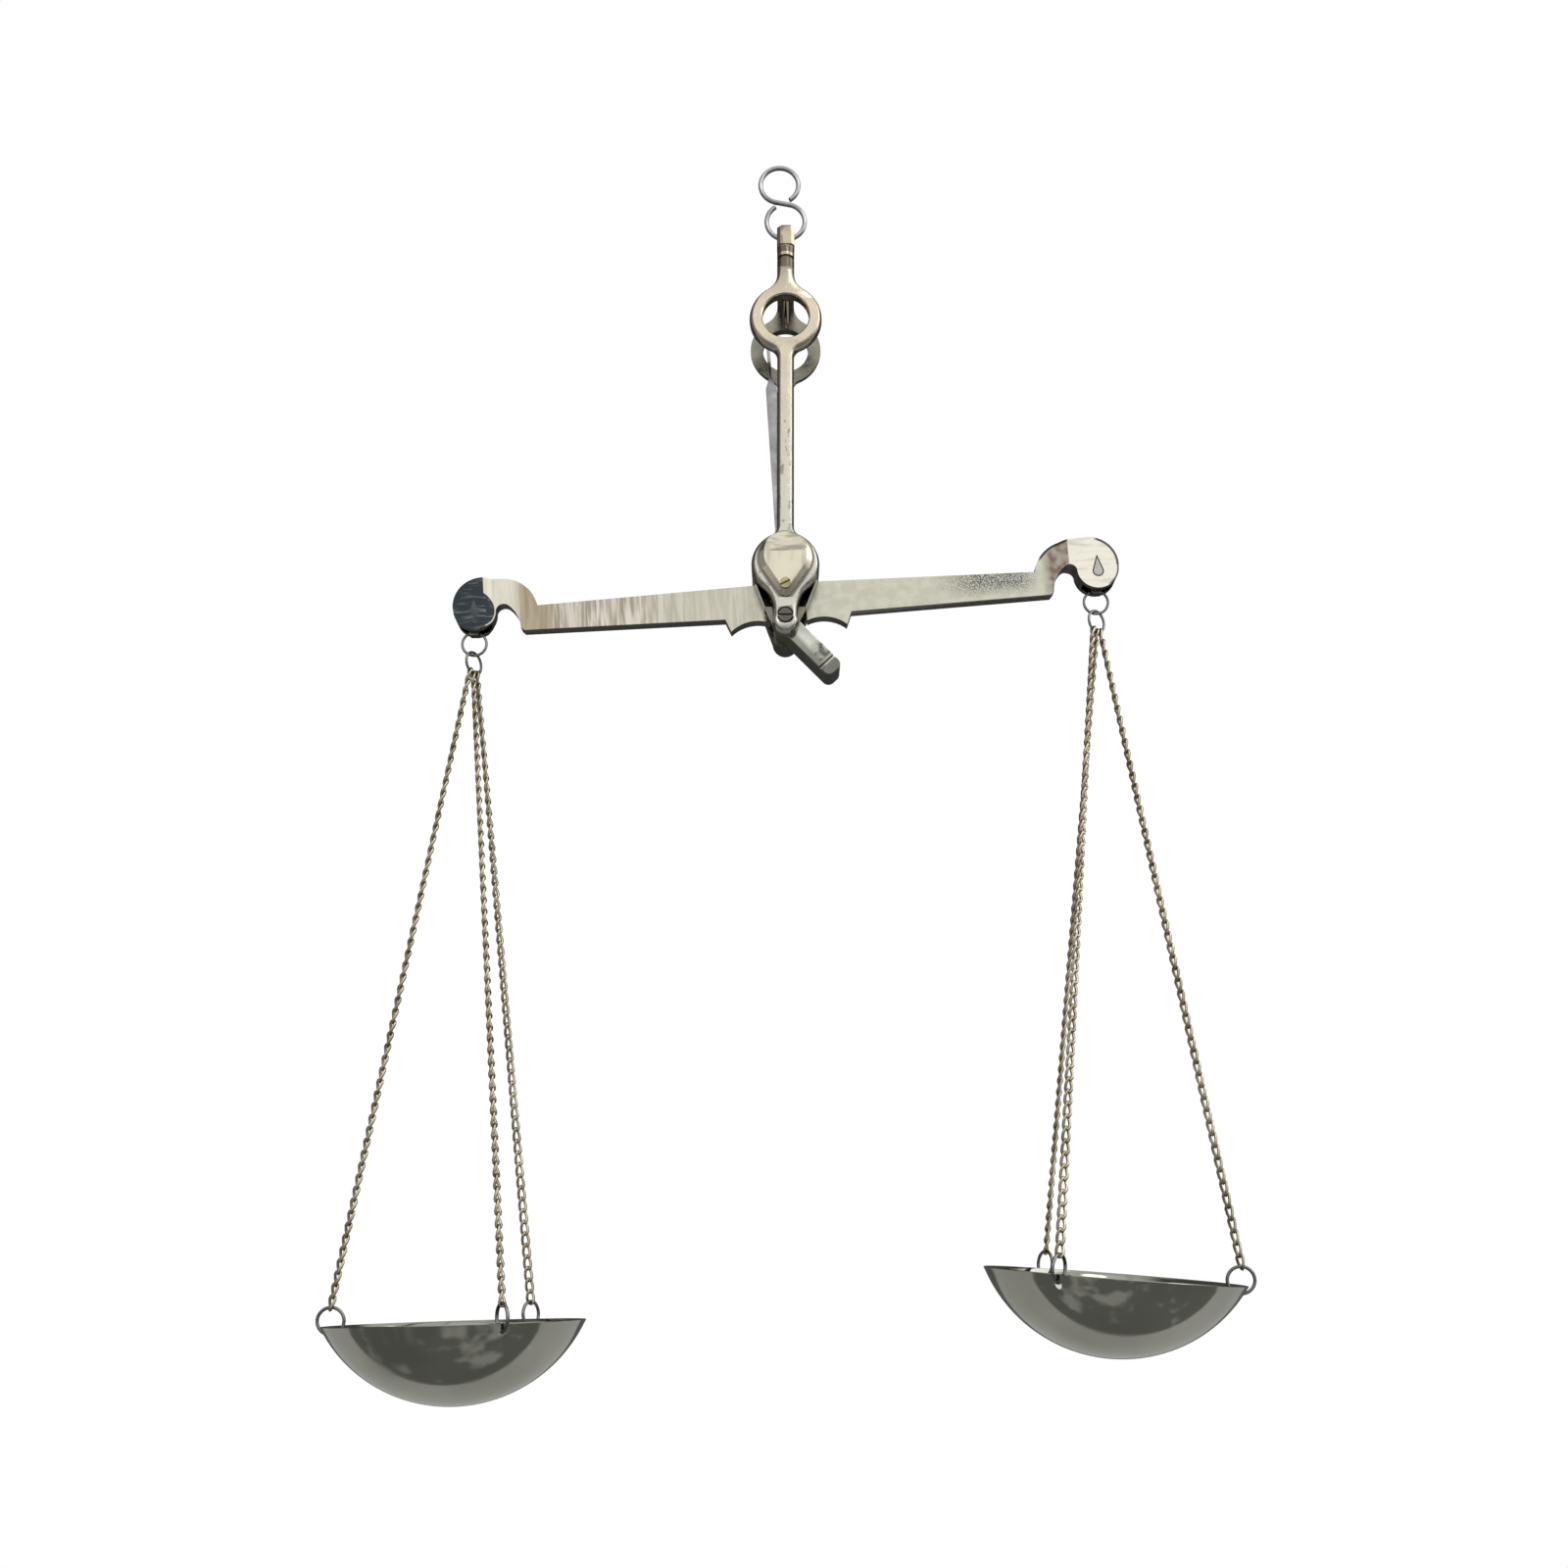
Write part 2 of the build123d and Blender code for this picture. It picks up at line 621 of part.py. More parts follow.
# Beam: one flat forging, thicker at the two slotted boxes, with a hub for the knife
beam_reach = 2 * arm_length
seat_from_line = pointer_seat + knife_rise
with BuildPart() as beam:
    with BuildSketch(beam_view.offset(-box_thickness / 2)):
        add(arm_outline())
        with Locations((0, hub_rise)):
            Circle(hub_radius)
    extrude(amount=box_thickness)
    beam_plan = Plane(origin=beam_view.origin, x_dir=beam_view.x_dir, z_dir=beam_view.y_dir)
    with BuildSketch(beam_plan.offset(-beam_reach)):
        with BuildLine():
            Polyline(
                (-beam_reach, box_thickness / 2),
                (left_step[0] - arm_length, box_thickness / 2),
                (left_step[1] - arm_length, bar_thickness / 2),
                (arm_length - right_step[1], bar_thickness / 2),
                (arm_length - right_step[0], box_thickness / 2),
                (beam_reach, box_thickness / 2),
                (beam_reach, -box_thickness / 2),
                (arm_length - right_step[0], -box_thickness / 2),
                (arm_length - right_step[1], -bar_thickness / 2),
                (left_step[1] - arm_length, -bar_thickness / 2),
                (left_step[0] - arm_length, -box_thickness / 2),
                (-beam_reach, -box_thickness / 2),
                (-beam_reach, box_thickness / 2),
            )
        make_face()
    extrude(amount=2 * beam_reach, mode=Mode.INTERSECT)
    with BuildSketch(beam_view.offset(-slot_half_gap)):
        for side in (-1, 1):
            with Locations((side * arm_length, slot_height)):
                Rectangle(2 * slot_half_width, 4 * disc_radius, align=(Align.CENTER, Align.MAX))
    extrude(amount=2 * slot_half_gap, mode=Mode.SUBTRACT)
    with BuildSketch(beam_view.offset(-box_thickness)):
        add(teardrop((-arm_length, 0), edge_up=True))
        add(teardrop((arm_length, 0), edge_up=True))
        add(teardrop((0, knife_rise), edge_up=False))
    extrude(amount=2 * box_thickness, mode=Mode.SUBTRACT)
    with BuildSketch(beam_view.offset(-pointer_thickness / 2)):
        with Locations((0, seat_from_line)):
            Rectangle(pointer_root_width, hub_radius, align=(Align.CENTER, Align.MIN))
    extrude(amount=pointer_thickness, mode=Mode.SUBTRACT)
save(beam.part, "beam")

# Knives: hardened teardrop bars, the middle one with its edge down, the end ones up
with BuildPart() as centre_knife:
    with BuildSketch(beam_view.offset(-centre_knife_length / 2)):
        add(teardrop((0, knife_rise), edge_up=False))
    extrude(amount=centre_knife_length)
save(centre_knife.part, "centre_knife")

for side, name in ((-1, "left_end_knife"), (1, "right_end_knife")):
    with BuildPart() as end_knife:
        with BuildSketch(beam_view.offset(-box_thickness / 2)):
            add(teardrop((side * arm_length, 0), edge_up=True))
        extrude(amount=box_thickness)
    save(end_knife.part, name)

# Pointer: a flat blade that steps in to a needle under the spindle's tip
with BuildPart() as pointer:
    with BuildSketch(beam_view.offset(-pointer_thickness / 2)):
        with BuildLine():
            Polyline(
                (-pointer_root_width / 2, seat_from_line),
                (pointer_root_width / 2, seat_from_line),
                (pointer_blade_width / 2, knife_rise + pointer_blade_top - pointer_blade_width),
                (needle_width / 2, knife_rise + pointer_blade_top),
                (needle_width / 2, knife_rise + pointer_tip - needle_width),
                (0, knife_rise + pointer_tip),
                (-needle_width / 2, knife_rise + pointer_tip - needle_width),
                (-needle_width / 2, knife_rise + pointer_blade_top),
                (-pointer_blade_width / 2, knife_rise + pointer_blade_top - pointer_blade_width),
                (-pointer_root_width / 2, seat_from_line),
            )
        make_face()
    extrude(amount=pointer_thickness)
save(pointer.part, "pointer")


def chain_link(centre, axis, facing):
    """Make one link: two end bars turned opposite ways, joined by two side wires."""
    stations = []
    corners = []
    for end, side in ((1, 1), (1, -1), (-1, -1), (-1, 1)):
        turn = radians(link_twist) * end
        beside = axis.cross(facing)
        reach = (facing * cos(turn) + beside * sin(turn)) * (side * link_half_width)
        corners.append(centre + reach + axis * (end * link_half_length))
    for index, corner in enumerate(corners):
        before = (corner - corners[index - 1]).normalized()
        after = (corners[(index + 1) % 4] - corner).normalized()
        along = (before + after).normalized()
        outward = (before - after).normalized()
        stations.append(Plane(origin=corner, x_dir=outward, z_dir=along))
    return facet_loop(stations, round_section(link_wire / 2, link_sides))


def strand(top, bottom, top_wire, bottom_wire, top_along, bottom_along):
    """Hang a straight run of links between two wires that run through its end links."""
    axis = (top - bottom).normalized()
    first_bar = top + axis * (top_wire / 2 + link_wire / 2 + wire_clearance)
    last_bar = bottom - axis * (bottom_wire / 2 + link_wire / 2 + wire_clearance)
    run = (first_bar - last_bar).length - 2 * link_half_length
    steps = ceil(run / (2 * link_half_length - link_wire - link_play))
    pitch = run / steps
    facing = []
    for along, turn in ((top_along, -90 - link_twist), (bottom_along, 90 + link_twist)):
        flat = (along - axis * along.dot(axis)).normalized()
        facing.append(flat.rotate(Axis((0, 0, 0), axis), turn))
    twist = facing[0].get_signed_angle(facing[1], axis)
    twist = (twist + 90) % 180 - 90
    links = []
    for index in range(steps + 1):
        place = first_bar - axis * (link_half_length + index * pitch)
        turned = facing[0].rotate(Axis((0, 0, 0), axis), twist * index / steps)
        links.append(chain_link(place, axis, turned))
    print("strand of", len(links), "links, pitch", round(pitch, 3), "twist", round(twist, 1))
    return links


def bowl_profile(radius, centre_height):
    """Give the corners of a bowl's banded outline, from its lowest point to its rim."""
    rim_angle = acos(centre_height / radius)
    corners = []
    for index in range(bowl_bands + 1):
        angle = rim_angle * index / bowl_bands
        corners.append((radius * sin(angle), centre_height - radius * cos(angle)))
    return corners


def make_side(side, name, gather_turn, pan_wall, lean_angle, tip_angle, hole_angles):
    """Build what hangs from one end of the beam: stirrup, rings, three chains and a pan."""
    edge = beam_view.from_local_coords((side * arm_length, 0, 0))
    hang = Plane(origin=edge, x_dir=(1, 0, 0), z_dir=(0, -1, 0))
    up = Vector(0, 0, 1)
    right = Vector(1, 0, 0)
    foot = -stirrup_foot

    # Stirrup: a strip folded into a U, both legs hang on the knife
    with BuildPart() as stirrup:
        with BuildSketch(hang.offset(-strip_half_depth)):
            with BuildLine():
                base = foot - strip_thickness
                shoulder = stirrup_radius * cos(radians(stirrup_shoulder))
                shoulder_height = stirrup_centre - stirrup_radius * sin(radians(stirrup_shoulder))
                Polyline(
                    (-stirrup_foot_half, base),
                    (stirrup_foot_half, base),
                    (shoulder, shoulder_height),
                    (-shoulder, shoulder_height),
                    (-stirrup_foot_half, base),
                )
            make_face()
            with Locations((0, stirrup_centre)):
                Circle(stirrup_radius)
            seat = vee_seat(0, stirrup_hole_centre, stirrup_hole_radius, edge_up=True)
            add(seat, mode=Mode.SUBTRACT)
        extrude(amount=2 * strip_half_depth)
        inner = strip_half_depth - strip_thickness
        with BuildSketch(hang.offset(-inner)):
            with Locations((0, foot)):
                Rectangle(4 * stirrup_radius, 4 * stirrup_foot, align=(Align.CENTER, Align.MIN))
        extrude(amount=2 * inner, mode=Mode.SUBTRACT)
    save(stirrup.part, name + "_stirrup")

    # Link ring, seated in the stirrup's foot
    flat_radius = link_ring_radius * cos(pi / ring_stations) - ring_wire / 2
    rest = sqrt(flat_radius**2 - stirrup_foot_half**2)
    link_centre = edge + up * (foot + wire_clearance - rest)
    link_ring = wire_ring(link_centre, right, up, link_ring_radius, ring_wire)
    save(Compound([link_ring]), name + "_link_ring")

    # Gathering ring, hooked through the link ring
    across = right.rotate(Axis.Z, gather_turn)
    hook_point = link_centre - up * link_ring_radius
    gather_top = hook_point + up * (ring_wire + wire_clearance)
    gather_centre = gather_top - up * gather_ring_radius
    gather_ring = wire_ring(gather_centre, across, up, gather_ring_radius, ring_wire)
    save(Compound([gather_ring]), name + "_gathering_ring")

    # Pan: a shallow round bowl with three holes under its rim
    rim = edge - up * pan_drop
    pan_plane = Plane(origin=rim).rotated((tip_angle, lean_angle, 0))
    bowl_radius = (pan_radius**2 + pan_depth**2) / (2 * pan_depth)
    centre_height = bowl_radius - pan_depth
    with BuildPart() as pan:
        with BuildSketch(Plane(origin=rim, x_dir=pan_plane.x_dir, z_dir=-pan_plane.y_dir)):
            outer = bowl_profile(bowl_radius, centre_height)
            inner = bowl_profile(bowl_radius - pan_wall, centre_height)
            with BuildLine():
                Polyline(*outer, *reversed(inner), outer[0])
            make_face()
        revolve(axis=Axis(rim, pan_plane.z_dir))
        wall_radius = sqrt(bowl_radius**2 - (rim_hole_drop + centre_height) ** 2)
        for azimuth in hole_angles.values():
            angle = radians(azimuth)
            outward = pan_plane.x_dir * cos(angle) + pan_plane.y_dir * sin(angle)
            spot = rim + outward * wall_radius - pan_plane.z_dir * rim_hole_drop
            with BuildSketch(Plane(origin=spot, z_dir=outward)):
                Circle(rim_hole_radius)
            extrude(amount=pan_depth / 2, both=True, mode=Mode.SUBTRACT)
    save(pan.part, name + "_pan")

    # Rim rings and chains
    ring_low = rim_hole_radius - rim_hole_drop - rim_ring_wire / 2 - rim_hole_slack
    low_radius = sqrt((bowl_radius - pan_wall / 2) ** 2 - (centre_height - ring_low) ** 2)
    rim_rings = []
    for index, (label, azimuth) in enumerate(hole_angles.items()):
        angle = radians(azimuth)
        outward = pan_plane.x_dir * cos(angle) + pan_plane.y_dir * sin(angle)
        lift = ring_low + rim_ring_radius
        ring_centre = rim + outward * low_radius + pan_plane.z_dir * lift
        rim_rings.append(
            wire_ring(ring_centre, outward, pan_plane.z_dir, rim_ring_radius, rim_ring_wire)
        )
        ring_top = ring_centre + pan_plane.z_dir * rim_ring_radius
        arc = (azimuth_order(hole_angles, label, gather_turn)) * strand_spacing / gather_ring_radius
        top = gather_centre + (across * sin(arc) - up * cos(arc)) * gather_ring_radius
        along = across * cos(arc) + up * sin(arc)
        links = strand(top, ring_top, ring_wire, rim_ring_wire, along, outward)
        save(Compound(links), name + "_" + label + "_chain")
    save(Compound(rim_rings), name + "_rim_rings")


def azimuth_order(hole_angles, label, gather_turn):
    """Tell where a strand sits on the gathering ring, so that no two strands cross."""
    reach = {
        key: cos(radians(value - gather_turn)) for key, value in hole_angles.items()
    }
    return sorted(reach, key=reach.get).index(label) - 1


make_side(
    -1,
    "left",
    left_gather_turn,
    left_pan_wall,
    left_lean_angle,
    left_tip_angle,
    left_hole_angles,
)
make_side(
    1,
    "right",
    right_gather_turn,
    right_pan_wall,
    right_lean_angle,
    right_tip_angle,
    right_hole_angles,
)
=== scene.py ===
# %% [markdown]
# # A hand held diamond scale
# This lesson dresses the working model of a small beam balance: a wire hook, a swivel stud, a
# two sided fork, a rocking beam, and two round pans that hang by three chains each. The frame
# that is loaded first already has every piece in its real place and size, in metres. It could
# be shown as it is, but its round wires and bowls are cut into flats, and bare metal has no
# colour. So most pieces are either copied with softened edges or made again as a smooth form,
# and a few keep their own solid with only a finish.

import json
import math

import bmesh
import bpy
import numpy as np
from mathutils import Matrix, Vector
from mathutils.geometry import tessellate_polygon


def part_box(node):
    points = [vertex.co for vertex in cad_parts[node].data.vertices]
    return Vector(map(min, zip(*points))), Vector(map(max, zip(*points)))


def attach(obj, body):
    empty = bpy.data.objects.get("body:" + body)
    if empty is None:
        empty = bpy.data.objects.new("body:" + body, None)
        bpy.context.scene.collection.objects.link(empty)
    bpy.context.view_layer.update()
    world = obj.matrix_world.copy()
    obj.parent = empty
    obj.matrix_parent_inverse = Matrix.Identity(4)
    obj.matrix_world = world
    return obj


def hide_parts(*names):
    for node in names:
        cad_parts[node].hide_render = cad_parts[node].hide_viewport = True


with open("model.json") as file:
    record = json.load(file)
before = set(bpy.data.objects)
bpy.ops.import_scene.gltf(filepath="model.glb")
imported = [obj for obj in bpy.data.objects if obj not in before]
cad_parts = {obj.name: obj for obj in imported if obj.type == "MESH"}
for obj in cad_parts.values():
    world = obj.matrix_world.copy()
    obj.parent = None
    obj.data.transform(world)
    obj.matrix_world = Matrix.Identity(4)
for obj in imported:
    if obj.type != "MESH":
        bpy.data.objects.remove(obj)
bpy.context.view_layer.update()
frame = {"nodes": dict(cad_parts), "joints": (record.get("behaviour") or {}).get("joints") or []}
MM = 0.001
pivots = {joint["name"]: Vector(joint["pos_m"]) for joint in frame["joints"]}

# %% [markdown]
# ## The camera
# The balance was photographed from the height of its pans with a phone, about 370 mm away, so
# the fork is seen from below and the pans from the side. A camera aimed at the middle of the
# balance would tilt much further up and squeeze the top of the picture. The real one looks up
# by less than 8 degrees and the picture is the upper part of a taller frame, which a lens
# shift gives exactly.


# %% Object helper
def add_object(name, data):
    """Put a new object with its data into the scene."""
    thing = bpy.data.objects.new(name, data)
    bpy.context.scene.collection.objects.link(thing)
    return thing


# %% Camera
camera_data = bpy.data.cameras.new("camera")
camera_data.sensor_width = 36.0
camera_data.lens = 36.3
camera_data.shift_y = 0.194
camera_data.clip_start = 0.01
camera_data.clip_end = 50.0
camera = add_object("camera", camera_data)
camera.location = (1.45 * MM, -368 * MM, -281.6 * MM)
camera.rotation_euler = (math.radians(97.7), math.radians(-0.06), 0)
bpy.context.scene.camera = camera
bpy.context.scene.view_settings.view_transform = "Standard"
print("camera looks up by", round(math.degrees(camera.rotation_euler[0]) - 90, 1), "degrees")

# %% [markdown]
# ## Nodes, in short
# Every finish and every repeating shape below is a small tree of nodes. One helper adds a
# node, sets its plain values and links what feeds it, so that each tree reads like a recipe.
# A number is set straight on its socket, and only what changes over a surface is linked. A
# mask is a value spread between two limits. Masks are multiplied to keep the place where all
# of them are, and the largest is taken to join them.


# %% Node helpers
def add_node(tree, kind, inputs=None, **settings):
    """Add a node, set its options, then give each named or numbered input a value or a link."""
    node = tree.nodes.new(kind)
    for name, value in settings.items():
        setattr(node, name, value)
    for key, value in (inputs or {}).items():
        if isinstance(value, bpy.types.NodeSocket):
            tree.links.new(value, node.inputs[key])
        else:
            node.inputs[key].default_value = value
    return node


def calculate(tree, operation, *values):
    """Add one step of arithmetic and give its result."""
    node = add_node(tree, "ShaderNodeMath", dict(enumerate(values)), operation=operation)
    return node.outputs[0]


def times(tree, result, *others):
    """Multiply several shares."""
    for other in others:
        result = calculate(tree, "MULTIPLY", result, other)
    return result


def most(tree, result, *others):
    """Take the largest of several shares."""
    for other in others:
        result = calculate(tree, "MAXIMUM", result, other)
    return result


def ranged(tree, value, low, high, to_low=0.0, to_high=1.0, **settings):
    """Spread a value between two limits."""
    limits = {"From Min": low, "From Max": high, "To Min": to_low, "To Max": to_high}
    limits["Value"] = value
    return add_node(tree, "ShaderNodeMapRange", limits, **settings).outputs["Result"]


def split(tree, place):
    """Give the x, y and z of a place."""
    return add_node(tree, "ShaderNodeSeparateXYZ", {0: place}).outputs


def pattern(tree, place, scale, detail, stretch=(1, 1, 1), turn=(0, 0, 0)):
    """Lay a noise over a piece, stretched along the axes, and give its grey value."""
    laid = {"Vector": place, "Scale": stretch, "Rotation": turn}
    laid = add_node(tree, "ShaderNodeMapping", laid).outputs[0]
    noise = {"Vector": laid, "Scale": scale, "Detail": detail}
    return add_node(tree, "ShaderNodeTexNoise", noise).outputs[0]


def white_to_the_eye(tree, mirrored, white):
    """Show plain white to the camera and another shader to every reflection."""
    seen = add_node(tree, "ShaderNodeLightPath").outputs["Is Camera Ray"]
    return add_node(tree, "ShaderNodeMixShader", {0: seen, 1: mirrored, 2: white}).outputs[0]


# %% [markdown]
# ## Studio
# Polished plating shows its surroundings more than its own colour, so the studio matters as
# much as the metal. The backdrop is plain white to the eye, but a reflection finds a room that
# is bright on the viewer's side, overhead and high on the right, where the window is. It is
# dim on the left and dark behind the balance, and that draws the dark line round every wire
# and edge. A single even white world was the other choice, but metal in it goes flat. The
# floor is white to the eye as well, and the bellies of the pans mirror another one: a dark and
# patchy table under the balance, and a pale board that starts just behind the pans.

# %% World
world = bpy.data.worlds.new("room")
bpy.context.scene.world = world
world.use_nodes = True
room = world.node_tree
room.nodes.clear()
direction = split(room, add_node(room, "ShaderNodeTexCoord").outputs["Generated"])
dim = 0.1
# Each glow lies where its ramps agree: the axis, where it starts, where it is full, how much.
glows = {
    "viewer's side": (("Y", -0.15, -0.5, 0.9), ("Z", -0.05, 0.22, 1.0), ("X", -0.9, -0.7, 1.0)),
    "high window": (("X", 0.3, 0.65, 0.95), ("Y", 0.4, 0.1, 1.0), ("Z", -0.15, 0.2, 1.0)),
    "overhead": (("Z", 0.5, 0.8, 0.75), ("Y", 0.7, 0.35, 1.0), ("X", -0.6, -0.2, 1.0)),
    "right wall": (("X", 0.4, 0.7, 0.7), ("Y", 0.3, 0.0, 1.0)),
    "left wall": (("X", -0.4, -0.8, 0.28), ("Y", 0.3, 0.0, 1.0)),
}
level = dim
for ramps in glows.values():
    glow = [
        ranged(room, direction[axis], start, full, 0.0, amount, interpolation_type="SMOOTHSTEP")
        for axis, start, full, amount in ramps
    ]
    level = most(room, times(room, *glow), level)
lit_room = add_node(room, "ShaderNodeBackground", {"Color": level}).outputs[0]
white = {"Color": (1, 1, 1, 1), "Strength": 1.0}
backdrop = add_node(room, "ShaderNodeBackground", white).outputs[0]
add_node(room, "ShaderNodeOutputWorld", {"Surface": white_to_the_eye(room, lit_room, backdrop)})
print("glows:", ", ".join(glows))

# %% Floor
floor_height = -430 * MM
floor_corners = [(x, y, floor_height) for x, y in ((-4, -4), (4, -4), (4, 6), (-4, 6))]
floor_mesh = bpy.data.meshes.new("floor")
floor_mesh.from_pydata(floor_corners, [], [(0, 1, 2, 3)])
floor = add_object("floor", floor_mesh)

floor_finish = bpy.data.materials.new("pale floor")
floor_finish.use_nodes = True
floor_mesh.materials.append(floor_finish)
paper = floor_finish.node_tree
paper.nodes.clear()
floor_place = add_node(paper, "ShaderNodeTexCoord").outputs["Object"]
away = split(paper, floor_place)["Y"]
board_start, board_full = 0.036, 0.042
patches = ranged(paper, pattern(paper, floor_place, 20.0, 2.0), 0.57, 0.68, 0.27, 0.6)
table = times(paper, patches, ranged(paper, away, board_start, board_full, 1.0, 0.0))
table = most(paper, table, ranged(paper, away, -0.5, -0.4, 0.8, 0.0))
board_end = ranged(paper, away, 0.5, 0.6, 1.0, 0.25)
board = times(paper, ranged(paper, away, board_start, board_full, 0.0, 0.8), board_end)
tone = calculate(paper, "ADD", board, table)
matt = add_node(paper, "ShaderNodeBsdfDiffuse", {"Color": tone}).outputs[0]
shining = add_node(paper, "ShaderNodeEmission", white).outputs[0]
shown_floor = white_to_the_eye(paper, matt, shining)
add_node(paper, "ShaderNodeOutputMaterial", {"Surface": shown_floor})
print("board starts", round(board_start / MM), "mm behind the fork")


# %% Lamps
def softbox(name, place, aim, size, power):
    """Hang a square lamp that faces a point."""
    data = bpy.data.lights.new(name, "AREA")
    data.shape = "RECTANGLE"
    data.size, data.size_y = size
    data.energy = power
    lamp = add_object(name, data)
    lamp.location = place
    lamp.rotation_euler = (Vector(aim) - Vector(place)).to_track_quat("-Z", "Y").to_euler()


middle = (0.0, 0.0, -0.16)
softbox("right window", (0.75, -0.1, 0.4), middle, (0.4, 0.6), 0.7)
softbox("top card", (0.3, -0.6, 0.6), middle, (0.3, 0.2), 0.5)

# %% [markdown]
# ## Plating and steel
# The real surfaces are old nickel and chrome over brass, bright but handled: a slow change of
# tone where the plating is thin, fine scratches, and small pits. One recipe serves them all. A
# large soft noise mixes two tones, a finer noise draws the scratches in both roughness and
# bump, and a spotted noise digs the pits. Walls that turn aside get a painted shade, a darker
# tone that draws a dark line round the edges. Patterns are laid in object coordinates, in
# metres, so a grain of one millimetre has a scale near 1000.

# %% Metal recipe
cloud_scale, scratch_scale, pit_scale = 160, 900, 1500


def mixed(tree, share, first, second):
    """Mix two tones, each a colour or a socket."""
    first, second = ((*tone, 1) if isinstance(tone, tuple) else tone for tone in (first, second))
    node = add_node(tree, "ShaderNodeMix", {0: share, 6: first, 7: second}, data_type="RGBA")
    return node.outputs[2]


def layered(tree, tone, *layers):
    """Lay colours over a tone, each where its mask says."""
    for mask, colour in layers:
        tone = mixed(tree, mask, tone, colour)
    return tone


def start_metal(name):
    """Begin a metal finish and give its material, tree, shader and object coordinates."""
    material = bpy.data.materials.new(name)
    material.use_nodes = True
    tree = material.node_tree
    shader = tree.nodes["Principled BSDF"]
    shader.inputs["Metallic"].default_value = 1.0
    place = add_node(tree, "ShaderNodeTexCoord").outputs["Object"]
    return material, tree, shader, place


def emboss(tree, shader, height, depth, strength=1.0):
    """Raise a shader's surface by a pattern, to a depth in metres."""
    relief = {"Height": height, "Distance": depth, "Strength": strength}
    bump = add_node(tree, "ShaderNodeBump", relief)
    tree.links.new(bump.outputs["Normal"], shader.inputs["Normal"])


def wear(tree, shader, place, roughness, scratches, pits, depth, grain=(1, 1, 1)):
    """Add scratches and pits to a shader's roughness and bump."""
    line = pattern(tree, place, scratch_scale, 4.0, grain)
    dug = times(tree, ranged(tree, pattern(tree, place, pit_scale, 2.0), 0.62, 0.74), pits)
    rough = most(tree, ranged(tree, line, 0.35, 0.7, *roughness), dug)
    shader.inputs["Roughness"].default_value = roughness[0]
    tree.links.new(rough, shader.inputs["Roughness"])
    emboss(tree, shader, calculate(tree, "SUBTRACT", times(tree, line, scratches), dug), depth)


def facing(tree, low=0.3, high=0.68):
    """Give 1 where a surface faces front or back, and 0 on walls turned aside, which get painted
    shade.
    """
    normal = add_node(tree, "ShaderNodeTexCoord").outputs["Normal"]
    return ranged(tree, calculate(tree, "ABSOLUTE", split(tree, normal)["Y"]), low, high)


def darker(tone, share):
    """Give a darker version of a colour."""
    return tuple(part * share for part in tone)


def plated_metal(
    name, tone, thin_tone, roughness, scratches, pits, depth=2e-5, side=0.35, shade=None, grey=None
):
    """Make a worn metal finish from its main tone and the tone where it is thin.

    Walls that turn aside get painted shade, darker by the share in side. A shade may lay
    painted shade, painted reflection or specks, and grey may say where the metal is greyer.
    """
    material, tree, shader, place = start_metal(name)
    cloud = ranged(tree, pattern(tree, place, cloud_scale, 4.0), 0.38, 0.66)
    colour = mixed(tree, cloud, tone, thin_tone)
    if grey:
        colour = mixed(tree, grey(tree, place), colour, (0.7, 0.7, 0.64))
    # A shade lays painted shade or painted reflection, with specks on the fork, toward a darker
    # tone.
    if shade:
        colour = mixed(tree, shade(tree, place), colour, darker(tone, 0.2))
    # Painted shade: walls turned aside from front and back take a darker tone.
    colour = mixed(tree, facing(tree), darker(thin_tone, side), colour)
    tree.links.new(colour, shader.inputs["Base Color"])
    wear(tree, shader, place, roughness, scratches, pits, depth)
    return material


# %% [markdown]
# ## Painted shade and reflection, place by place
# Most darkness laid here is painted shade and painted reflection: on the stud's head and neck,
# inside the fork and in a line round the cap, on the lever, and on the caps' domes. Painting it
# by hand on a picture was one way, but a mask worked out from the place needs no picture and
# stays sharp from close by. Such a mask starts at an edge: a place in millimetres, and how soft
# the change is there.

# %% Mask helpers
pivot = pivots["beam_rock"]
cap_round, cap_foot, cap_spacing = 6.5, 2.3, 7.6
cap_slant = math.asin((cap_round - cap_foot) / cap_spacing)
cap_crease = 0.9
cap_centre = Vector((pivot.x, 0, pivot.z + 1.0 * MM))


def edge(tree, value, at, soft, amount=1.0):
    """Give an amount past a place in mm, with a soft start, or before it if soft is negative."""
    return ranged(tree, value, (at - soft) * MM, (at + soft) * MM, 0.0, amount)


def reach_from(tree, x, z, centre_x, centre_z):
    """Measure how far a place is from a centre in mm, as seen from the front."""
    beside = calculate(tree, "SUBTRACT", x, centre_x * MM)
    above = calculate(tree, "SUBTRACT", z, centre_z * MM)
    return calculate(
        tree, "SQRT", calculate(tree, "MULTIPLY_ADD", beside, beside, times(tree, above, above))
    )


def compare(tree, operation, place, other):
    """Measure a place against a point or a direction."""
    node = add_node(tree, "ShaderNodeVectorMath", {0: place, 1: other}, operation=operation)
    return node.outputs["Value"]


# %% Painted shade and reflection of the stud, fork, lever and caps
def stud_painted_shade(tree, place):
    """Paint shade on the left of the stud's head and on its neck, but for a light line at the
    groove, a painted highlight.
    """
    x, _, z = split(tree, place)
    # Painted shade on the neck below the head, all but a light line at the groove, a painted
    # highlight.
    groove = times(tree, edge(tree, z, -20.5, 0.1), edge(tree, z, -19.6, -0.1))
    neck = times(tree, edge(tree, z, -17.9, -0.1, 0.9), calculate(tree, "SUBTRACT", 1.0, groove))
    # Painted shade on the left of the head, with a cloudy edge.
    cloud = calculate(tree, "SUBTRACT", pattern(tree, place, 300, 2.0), 0.5)
    head_left_painted_shade = edge(tree, calculate(tree, "MULTIPLY_ADD", cloud, 6 * MM, x), 0.85, -0.45, 0.6)
    return most(tree, neck, head_left_painted_shade)


